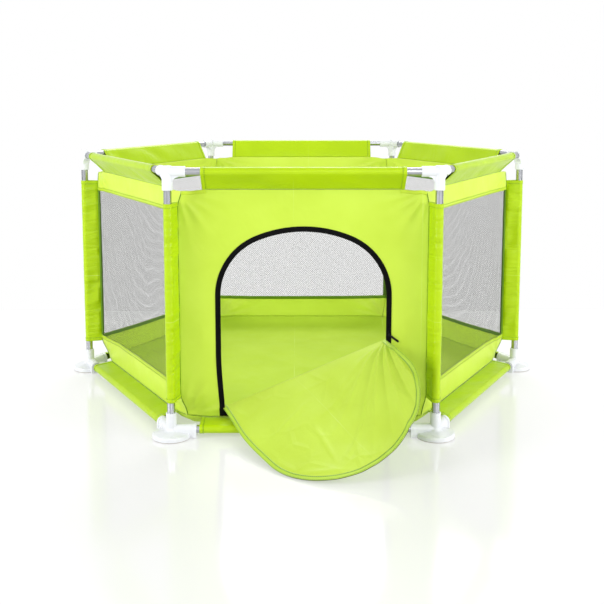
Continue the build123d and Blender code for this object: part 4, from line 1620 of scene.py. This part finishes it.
@dataclass
class Door:
    """Door of the front wall: the zip, the corner still zipped shut, and the flap folded out."""

    shape: WallShape
    outline: DoorOutline
    finishes: Finishes
    sewing: Sewing
    cloth: float = 0.0008
    tape_foot: float = 0.003
    tape_lift: float = 0.0004
    tape_pinch: float = 0.02
    tape_section: tuple[tuple[int, int], ...] = (
        (0, 2), (4, 9), (38, 9), (45, 14), (56, 14), (62, 9), (86, 9),
        (93, 18), (106, 22), (119, 20), (127, 14), (130, 3), (130, -3), (0, -3),
    )
    block_width: float = 0.023
    block_height: float = 0.021
    block_margin: float = 0.001
    block_proud: float = 0.0029
    block_back: float = -0.0002
    corner_foot: float = 0.003
    corner_under: float = 0.003
    corner_back: float = 0.0005
    hem: float = 0.011
    hem_lift: float = 0.0007
    zip_inset: float = 0.0005
    zip_lift: float = -0.0012
    clear: float = 0.008
    stitch_inset: float = 0.0012
    stitch_gap: float = 0.0010
    stitch_lifts: Pair = (0.0016, 0.0036)
    stitch_bold: float = 1.3
    floor_gap: float = 0.0016
    floor_soft: float = 0.002
    over_sleeve: float = 0.0355
    sleeve_out: float = 0.008
    sleeve_run: float = 0.05
    settle: tuple[tuple[float, ...], ...] = (
        (-0.0148, 0.0013, -0.0042, -0.0006, 0.0016),
        (-0.0074, 0.0021, -0.0073, -0.0036, 0.0005),
        (0.0163, 0.0108, 0.0003, -0.0097, -0.0028),
    )
    ridges: tuple[tuple[float, ...], ...] = (
        (92.0, 1.8, 3.0),
        (99.0, 2.0, 5.5),
        (107.0, 2.2, -4.0),
        (115.0, 2.2, 6.5),
        (124.0, 2.4, -4.0),
        (133.0, 2.6, 6.5),
        (143.0, 3.0, -3.5),
        (154.0, 3.2, 5.0),
        (168.0, 6.0, 3.0),
    )
    creases: tuple[tuple[float, ...], ...] = (
        (0.05, 0.33, 125.0, 0.10, 2.2),
        (-0.02, 0.37, 150.0, 0.12, 2.4),
        (0.10, 0.40, 105.0, 0.08, 2.0),
        (-0.10, 0.22, 160.0, 0.10, 2.2),
        (-0.08, 0.33, 100.0, 0.09, 1.8),
        (0.02, 0.25, 170.0, 0.11, 2.0),
        (-0.13, 0.40, 35.0, 0.07, 1.6),
    )
    fan_start: float = 0.07
    fan_run: float = 0.16
    fan_loss: float = 0.75
    crease_width: float = 0.006
    fold_run: float = 0.04
    wide_hills: Pair = (2.2, 0.085)
    small_hills: Pair = (1.0, 0.037)
    shut_lean: float = 1.9
    shut_keep: float = 0.15

    def build(self) -> None:
        """Makes all pieces of the door."""
        self.zip_tape()
        self.end_block()
        self.lower_corner()
        self.flap()

    def zip_tape(self) -> None:
        """Makes the zip round the arch.

        A closed section is carried along the outline: a flat tape with a stitched rib along its middle and
        the coil along its inner edge. Its points are (width, proud) in tenths of a millimetre. Its two ends
        close to a line.
        """
        width, proud = np.array(self.tape_section).T * 1e-4
        run = np.linspace(self.tape_foot, self.outline.length - self.tape_foot, 420)
        run = np.concatenate([run[:1], run, run[-1:]])
        ends = np.ones((len(run), 1))
        ends[[0, -1]] = self.tape_pinch
        middle = self.outline.tape / 2
        inset = middle + (width - middle) * ends
        spots = self.outline.trace(np.broadcast_to(run[:, None], inset.shape), inset)
        points = self.shape.place(spots[..., 0], spots[..., 1], proud * ends + self.tape_lift)
        around = np.concatenate([[0.0], np.cumsum(np.hypot(np.diff(width), np.diff(proud)))])
        flat = np.stack(np.broadcast_arrays(run[:, None], around[None]), axis=-1)
        patch = Patch(points, flat, ring=True)
        tape = sew_piece("zip_tape_cloth", [patch], [self.finishes.tape], Body.PEN)
        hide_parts("zip_tape")

    def end_block(self) -> None:
        """Makes the sewn-down end of the zip at the lower left: a low cushion with rounded edges."""
        share, rise = grid((-1.0, 1.0, 25), (-1.0, 1.0, 25))
        round_off = np.sqrt((1.0 - np.abs(share) ** 6) * (1.0 - np.abs(rise) ** 6))
        x = -self.outline.half_width - self.block_margin + self.block_width * (share + 1.0) / 2
        up = self.tape_foot - self.block_margin + self.block_height * (rise + 1.0) / 2
        patches = []
        for height, shift, order in ((self.block_proud, 0.0, 1), (self.block_back, 0.03, -1)):
            face = (x, up, self.tape_lift + height * round_off)
            patches.append(self.shape.patch(*(part[:, ::order] for part in face), shift=shift))
        block = sew_piece("zip_end", patches, [self.finishes.tape], Body.PEN)
        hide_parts("zip_tape")

    def lower_corner(self) -> None:
        """Makes the part of the door below the fold, from the sill up to the fold line."""
        inner = self.outline.half_width - self.outline.tape + self.corner_under
        x, share = grid((-inner, inner, 120), (0.0, 1.0, 40))
        up = self.corner_foot + (self.outline.fold_up(x) - self.corner_foot) * share
        patch = self.shape.patch(x, up, -self.corner_back - self.shape.bulge(x, up, 1) * smooth(share))
        looks = [self.finishes.cover]
        piece = sew_piece("door_lower_cloth", [patch], looks, Body.PEN, self.cloth)
        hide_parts("door_lower")
        declare_sheet([patch])

    def lift(self, x: Array, up: Array) -> Array:
        """Height of the flap's creases over its flat plane, towards the face that shows.

        Creases fan out from the corner by the slider: each line of ridges is a bearing, half a width and a
        height, as a pointed bell across its bearing that widens with distance. Low hills are added, and
        straight creases: each line of creases is a middle (x, up), a bearing, half a length and a height, as
        a bell across the line that fades towards its ends. Heights are millimetres.

        Args:
            x: Places across the closed door.
            up: Places up the closed door.

        Returns:
            The height at each place.
        """
        east = x - self.outline.half_width + self.outline.flap_inset
        north = up - self.outline.fold_right
        reach, bearing = np.hypot(east, north), np.degrees(np.arctan2(north, east))
        fade = 1.0 - self.fan_loss * smooth((reach - self.fan_run) / self.fan_run)
        at, wide, tall = np.array(self.ridges).T
        fan = np.exp(-(np.abs((bearing[..., None] - at) / wide) ** 1.4)) @ tall
        fan = fan * smooth(reach / self.fan_start) * fade
        middle_x, middle_up, angle, half, tall = np.array(self.creases).T
        east, north, angle = x[..., None] - middle_x, up[..., None] - middle_up, np.radians(angle)
        along = east * np.cos(angle) + north * np.sin(angle)
        aside = north * np.cos(angle) - east * np.sin(angle)
        sharp = np.exp(-((aside / self.crease_width) ** 2)) * fading(np.abs(along), half) @ tall
        (high, pitch), (low, small_pitch) = self.wide_hills, self.small_hills
        soft = high * hills(x + 0.3 * up, up, pitch, 61) + low * hills(x, up, small_pitch, 67)
        return 0.001 * (fan + (soft + sharp) * smooth(self.away(x, up) / self.fold_run))

    def settled(self, x: Array, up: Array) -> Array:
        """How far the flap's own weight carries it from its flat plane.

        Round the middle of the fold line, the rim's bearing goes through half a turn. Each line of settle is
        a sine series over that half turn: how far the rim moves right, up and towards the outer face. The
        move eases from nothing at the middle of the fold to all of it at the rim.

        Args:
            x: Places across the closed door.
            up: Places up the closed door.

        Returns:
            The way that each place moves, in the closed door's directions.
        """
        middle = float(self.outline.fold_up(np.array(0.0)))
        rim = self.outline.trace(self.rim_runs(300), self.outline.flap_inset)[::-1] - np.array([0.0, middle])
        tilt = math.atan2(rim[0, 1], rim[0, 0])
        bearing = np.mod(np.arctan2(up - middle, x) - tilt + 1.0, 2 * math.pi) - 1.0
        round_rim = np.mod(np.arctan2(rim[:, 1], rim[:, 0]) - tilt + 1.0, 2 * math.pi) - 1.0
        reach = np.interp(bearing, round_rim, np.hypot(rim[:, 0], rim[:, 1]))
        share = smooth(np.hypot(x, up - middle) / reach)
        waves = np.sin(np.clip(bearing, 0.0, math.pi)[..., None] * np.arange(1, 6))
        right, high, out = np.moveaxis(waves @ np.array(self.settle).T * share[..., None], -1, 0)
        lean = self.shape.layout.lean
        outward = out * math.cos(lean) + high * math.sin(lean)
        return np.stack([right, -outward, high * math.cos(lean) - out * math.sin(lean)], axis=-1)

    def flatten_when_shut(self, piece: Piece) -> None:
        """Works out which way the flap would lean out when zipped shut, which is not used, and gives the
        piece its own mesh.

        Args:
            piece: A piece of the flap.
        """
        layout = self.shape.layout
        lean, angle, axis = layout.lean - math.radians(self.shut_lean), layout.fold_open, layout.fold_axis
        across = np.cross(axis, [0.0, -math.cos(lean), -math.sin(lean)])
        out = np.cross(across, axis)
        out = out * math.cos(angle) + np.cross(axis, out) * math.sin(angle)
        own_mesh(piece)

    def away(self, x: Array, up: Array) -> Array:
        """Measures how far places on the closed door are from the fold line.

        Args:
            x: Places across the door.
            up: Places up the door.

        Returns:
            The distance at each place.
        """
        inner = self.outline.half_width - self.outline.tape
        slope = math.atan2(self.outline.fold_right - self.outline.fold_left, 2 * inner)
        return (up - self.outline.fold_up(x)) * math.cos(slope)

    def swing(self, flat: Array, lift: Array | float) -> Array:
        """Carries places on the closed door to where the flap lies, folded out about the fold line.

        Points of the closed door, moved as the cloth settles, are turned about the fold's axis by the
        joint's whole range. Then anything that would sink is eased to lie on the bottom sleeve or the ground.

        Args:
            flat: (x, up) on the closed door, last.
            lift: Distance from the cloth towards the face that shows.

        Returns:
            The points, coordinates last.
        """
        layout, x, up = self.shape.layout, flat[..., 0], flat[..., 1]
        lean = layout.lean
        proud = -(self.lift(x, up) + lift)
        out = layout.low_apothem + up * math.sin(lean) + (proud - self.cloth / 2) * math.cos(lean)
        high = layout.wall_low + up * math.cos(lean) - (proud - self.cloth / 2) * math.sin(lean)
        arm = np.stack([x, -out, high], axis=-1) + self.settled(x, up) - layout.fold_start
        axis, angle = layout.fold_axis, layout.fold_open
        turn = arm * math.cos(angle) + np.cross(axis, arm) * math.sin(angle)
        points = layout.fold_start + turn + axis * (arm @ axis)[..., None] * (1.0 - math.cos(angle))
        past_sleeve = -points[..., 1] - layout.apothem - self.sleeve_out
        ground = self.floor_gap + lift + self.over_sleeve * fading(past_sleeve, self.sleeve_run)
        above = np.minimum((points[..., 2] - ground) / self.floor_soft, 300.0)
        points[..., 2] = ground + self.floor_soft * np.logaddexp(0.0, above)
        return points

    def rim_runs(self, count: int, clear: float = 0.0) -> Array:
        """Even steps along the outline, from where the flap's rim starts to where it ends.

        Args:
            count: How many places.
            clear: How far the first and the last stay from the ends of the rim.

        Returns:
            Distances along the door's outline.
        """
        inner = self.outline.half_width - self.outline.flap_inset
        left = float(self.outline.fold_up(np.array(-inner)))
        right = float(self.outline.fold_up(np.array(inner)))
        return np.linspace(left + clear, self.outline.length - right - clear, count)

    def flap(self) -> None:
        """Makes the flap, its hem with stitches, and the half of the zip on its under face.

        The flap's columns lead from the fold line to the rim, where each takes the same share of both.
        """
        run = self.rim_runs(240)
        rim = self.outline.trace(run, self.outline.flap_inset)
        inner = self.outline.half_width - self.outline.flap_inset
        fold_x = np.linspace(-inner, inner, len(run))
        fold = np.stack([fold_x, self.outline.fold_up(fold_x)], axis=-1)
        share = np.linspace(0.0, 1.0, 90)[:, None, None]
        flat = fold[None] * (1.0 - share) + rim[None] * share
        body = Patch(self.swing(flat, 0.0), flat)
        patches = [body, self.rim_strip(self.outline.flap_inset, self.hem_lift, flip=False)]
        looks = [self.finishes.flap, self.finishes.rim]
        piece = sew_piece("door_flap_cloth", patches, looks, Body.FLAP, self.cloth)
        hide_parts("door_flap")
        declare_sheet(patches)
        self.flatten_when_shut(piece)
        tape = self.rim_strip(self.outline.flap_inset + self.zip_inset, self.zip_lift, flip=True)
        zip_half = sew_piece("flap_zip_cloth", [tape], [self.finishes.tape], Body.FLAP, self.cloth)
        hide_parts("flap_zip_tape")
        declare_sheet([tape])
        self.flatten_when_shut(zip_half)
        inner_row = self.hem - self.stitch_inset
        runs = self.rim_runs(400, self.clear)
        for inset in (self.stitch_inset, inner_row - self.stitch_gap, inner_row):
            line = self.outline.trace(runs, self.outline.flap_inset + inset)
            under, over = (self.swing(line, lift) for lift in self.stitch_lifts)
            self.sewing.row(under, over, Body.FLAP, self.stitch_bold)

    def rim_strip(self, inset: float, lift: float, flip: bool) -> Patch:
        """A strip along the flap's rim, as wide as the hem.

        Args:
            inset: Distance of its outer edge from the door's outline.
            lift: Distance from the cloth towards the face that shows.
            flip: True for a strip on the under face, which ends short of the fold.

        Returns:
            The patch.
        """
        runs = self.rim_runs(260, self.clear if flip else 0.0)
        run, across = np.meshgrid(runs, np.linspace(0.0, self.hem, 6), indexing="ij")
        points = self.swing(self.outline.trace(run, inset + across), lift)
        cut = np.stack([run, across], axis=-1) if flip else self.outline.trace(run, inset - across)
        order = slice(None, None, -1 if flip else 1)
        return Patch(points[:, order], cut[:, order], finish=0 if flip else 1)


@dataclass
class CornerSeams:
    """Sewn seams of the cover: up each corner and round the foot of each wall, as dark cords whose colour is
    partly painted shade in the seams' creases.
    """

    shape: WallShape
    sewing: Sewing
    lift: float = 0.0002
    foot_reach: float = 0.99
    foot_thick: float = 0.32
    steps: int = 80

    def build(self) -> None:
        """Adds a seam cord up each corner and along the foot of each wall."""
        up = np.linspace(0.0, self.shape.layout.height, self.steps)
        share = np.linspace(-self.foot_reach, self.foot_reach, self.steps)
        level = np.zeros_like(share)
        for side in SIDES:
            left = -self.shape.half_width(-np.ones_like(up), up, side)
            self.sewing.seam(self.shape.place(left, up, self.lift, side))
            foot = share * self.shape.half_width(share, level, side)
            self.sewing.seam(self.shape.place(foot, level, self.lift, side), self.foot_thick)


@dataclass
class RigidParts:
    """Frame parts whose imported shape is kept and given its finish."""

    finishes: Finishes

    def dress(self, node: str, finish: Material) -> None:
        """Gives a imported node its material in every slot.

        Args:
            node: Name of the node.
            finish: The material.
        """
        piece = frame["nodes"][node]
        if not piece.material_slots:
            piece.data.materials.append(finish)
        for slot in piece.material_slots:
            slot.material = finish
        LOG.info("%s: %s", node, finish.name)

    def build(self) -> None:
        """Dresses tubes, corners, feet, cups, slider and pull."""
        for side in SIDES:
            rail = self.finishes.rail_steel[(side - 1) % 3]
            self.dress(f"post_tube_{side}", self.finishes.post_steel)
            self.dress(f"top_rail_{side}", rail)
            self.dress(f"bottom_rail_{side}", rail)
            self.dress(f"top_corner_{side}", self.finishes.plastic)
            self.dress(f"foot_{side}", self.finishes.plastic)
        self.dress("suction_cups", self.finishes.rubber)
        self.dress("zip_slider", self.finishes.black_metal)
        self.dress("zip_pull", self.finishes.black_metal)


# Studio


@dataclass
class Lamp:
    """A soft square lamp that faces the pen."""

    name: str
    place: Triple
    size: float
    power: float
    target: Triple = (0.0, 0.0, 0.3)

    def build(self) -> None:
        """Makes the lamp."""
        light = bpy.data.lights.new(self.name, "AREA")
        light.size = self.size
        light.energy = self.power
        lamp = bpy.data.objects.new(self.name, light)
        lamp.location = self.place
        facing = Vector(self.target) - Vector(self.place)
        lamp.rotation_euler = facing.to_track_quat("-Z", "Y").to_euler()
        bpy.context.scene.collection.objects.link(lamp)


@dataclass
class Studio:
    """White studio: a pale glossy floor, white surroundings, soft lamps and the camera."""

    camera_place: Triple = (-0.0148, -2.7222, 0.8423)
    pitch: float = 7.0
    yaw: float = 0.33
    lens: float = 55.31
    sensor: float = 36.0
    shift: Pair = (-0.001, -0.167)
    sight: float = 60.0
    floor_half: float = 9.0
    floor_back: float = 0.72
    floor_tone: float = 0.43
    floor_glow: float = 0.42
    floor_roughness: Pair = (0.1, 0.16)
    fill: float = 0.51
    card_height: float = 2.6
    card_tone: float = 0.01
    cards: tuple[tuple[str, Pair, Pair], ...] = (
        ("card_left", (-4.6, -1.6), (-4.9, 0.3)),
        ("card_right", (4.6, -1.8), (5.0, 0.6)),
    )
    lamps: tuple[Lamp, ...] = (
        Lamp("key_lamp", (-3.4, -1.9, 1.7), 1.7, 98.0),
        Lamp("fill_lamp", (3.5, -1.8, 1.6), 2.0, 90.0),
        Lamp("front_lamp", (1.0, -4.2, 1.7), 2.0, 42.0),
        Lamp("back_lamp", (0.3, 2.5, 3.1), 2.4, 96.0),
    )

    def build(self) -> None:
        """Makes the floor, surroundings, lamps and camera."""
        self.floor()
        self.dark_cards()
        self.surroundings()
        for lamp in self.lamps:
            lamp.build()
        self.camera()
        bpy.context.scene.view_settings.view_transform = "Standard"

    def stage_piece(self, name: str, points: Array, finish: Material) -> Piece:
        """Makes a piece of the studio, which isn't part of the pen.

        Args:
            name: Name of the piece.
            points: (rows, columns, 3) grid of its points.
            finish: Its material.

        Returns:
            The new piece.
        """
        patch = Patch(points, points[..., :2])
        piece = make_mesh(name, points.reshape(-1, 3), patch.cells(), patch.flat.reshape(-1, 2), [finish])
        return piece

    def floor(self) -> None:
        """Makes the floor: a level, softly lit table top with a faint mirror gloss."""
        half = self.floor_half
        x, y = grid((-half, half, 9), (-half, self.floor_back, 9))
        wiring = Wiring("studio_floor")
        haze = wiring.noise(wiring.coordinates("Object"), 3.0)
        rough = wiring.span(haze, edges=(0.3, 0.7), ends=self.floor_roughness)
        wiring.shade(base_color=(*[self.floor_tone] * 3, 1.0), roughness=rough, specular_IOR_level=0.5)
        wiring.shade(emission_color=WHITE, emission_strength=self.floor_glow)
        self.stage_piece("floor", np.stack([x, y, 0.0 * x], axis=-1), wiring.material)

    def dark_cards(self) -> None:
        """Makes tall dark cards to both sides, seen only in gloss, that draw streaks on the tubes."""
        wiring = Wiring("dark_card")
        wiring.shade(base_color=(*[self.card_tone] * 3, 1.0), roughness=0.9)
        share, high = grid((0.0, 1.0, 3), (0.0, self.card_height, 3))
        for name, start, end in self.cards:
            x, y = (start[axis] + (end[axis] - start[axis]) * share for axis in (0, 1))
            card = self.stage_piece(name, np.stack([x, y, high], axis=-1), wiring.material)
            for ray in ("camera", "diffuse", "shadow", "transmission"):
                setattr(card, f"visible_{ray}", False)

    def surroundings(self) -> None:
        """Makes the surroundings white to the eye and in gloss, and a plain fill for the light."""
        world = bpy.data.worlds.new("studio")
        world.use_nodes = True
        nodes, links = world.node_tree.nodes, world.node_tree.links
        seen, lit = nodes["Background"], nodes.new("ShaderNodeBackground")
        for background in (seen, lit):
            background.inputs["Color"].default_value = WHITE
        lit.inputs["Strength"].default_value = self.fill
        path, both = nodes.new("ShaderNodeLightPath"), nodes.new("ShaderNodeMixShader")
        shown = path.outputs["Is Camera Ray"]
        for ray in ("Is Glossy Ray", "Is Transmission Ray"):
            join = nodes.new("ShaderNodeMath")
            join.operation = "MAXIMUM"
            links.new(shown, join.inputs[0])
            links.new(path.outputs[ray], join.inputs[1])
            shown = join.outputs["Value"]
        links.new(shown, both.inputs["Fac"])
        links.new(lit.outputs["Background"], both.inputs[1])
        links.new(seen.outputs["Background"], both.inputs[2])
        links.new(both.outputs["Shader"], nodes["World Output"].inputs["Surface"])
        bpy.context.scene.world = world

    def camera(self) -> None:
        """Makes the camera at the photograph's height and tilt."""
        lens = bpy.data.cameras.new("camera")
        lens.lens = self.lens
        lens.sensor_width = self.sensor
        lens.shift_x, lens.shift_y = self.shift
        lens.clip_end = self.sight
        camera = bpy.data.objects.new("camera", lens)
        camera.location = self.camera_place
        camera.rotation_euler = (math.radians(90.0 - self.pitch), 0.0, -math.radians(self.yaw))
        bpy.context.scene.collection.objects.link(camera)
        bpy.context.scene.camera = camera


def main() -> None:
    """Builds the pen's cover, dresses its frame and sets up the studio."""
    logging.basicConfig(level=logging.INFO, format="%(name)s: %(message)s")
    layout = PenLayout.from_frame()
    shape = WallShape(layout)
    outline = DoorOutline()
    finishes = Finishes()
    sewing = Sewing(finishes)
    RigidParts(finishes).build()
    FrontWall(shape, outline, finishes).build()
    for side in NET_SIDES:
        SideWall(side, shape, finishes, sewing).build()
    Sleeves(layout, shape, finishes, sewing).build()
    FloorCloth(shape, finishes).build()
    door = Door(shape, outline, finishes, sewing)
    door.build()
    CornerSeams(shape, sewing).build()
    stitches = sewing.finish()
    door.flatten_when_shut(stitches[Body.FLAP])
    Studio().build()


if __name__ == "__main__":
    main()
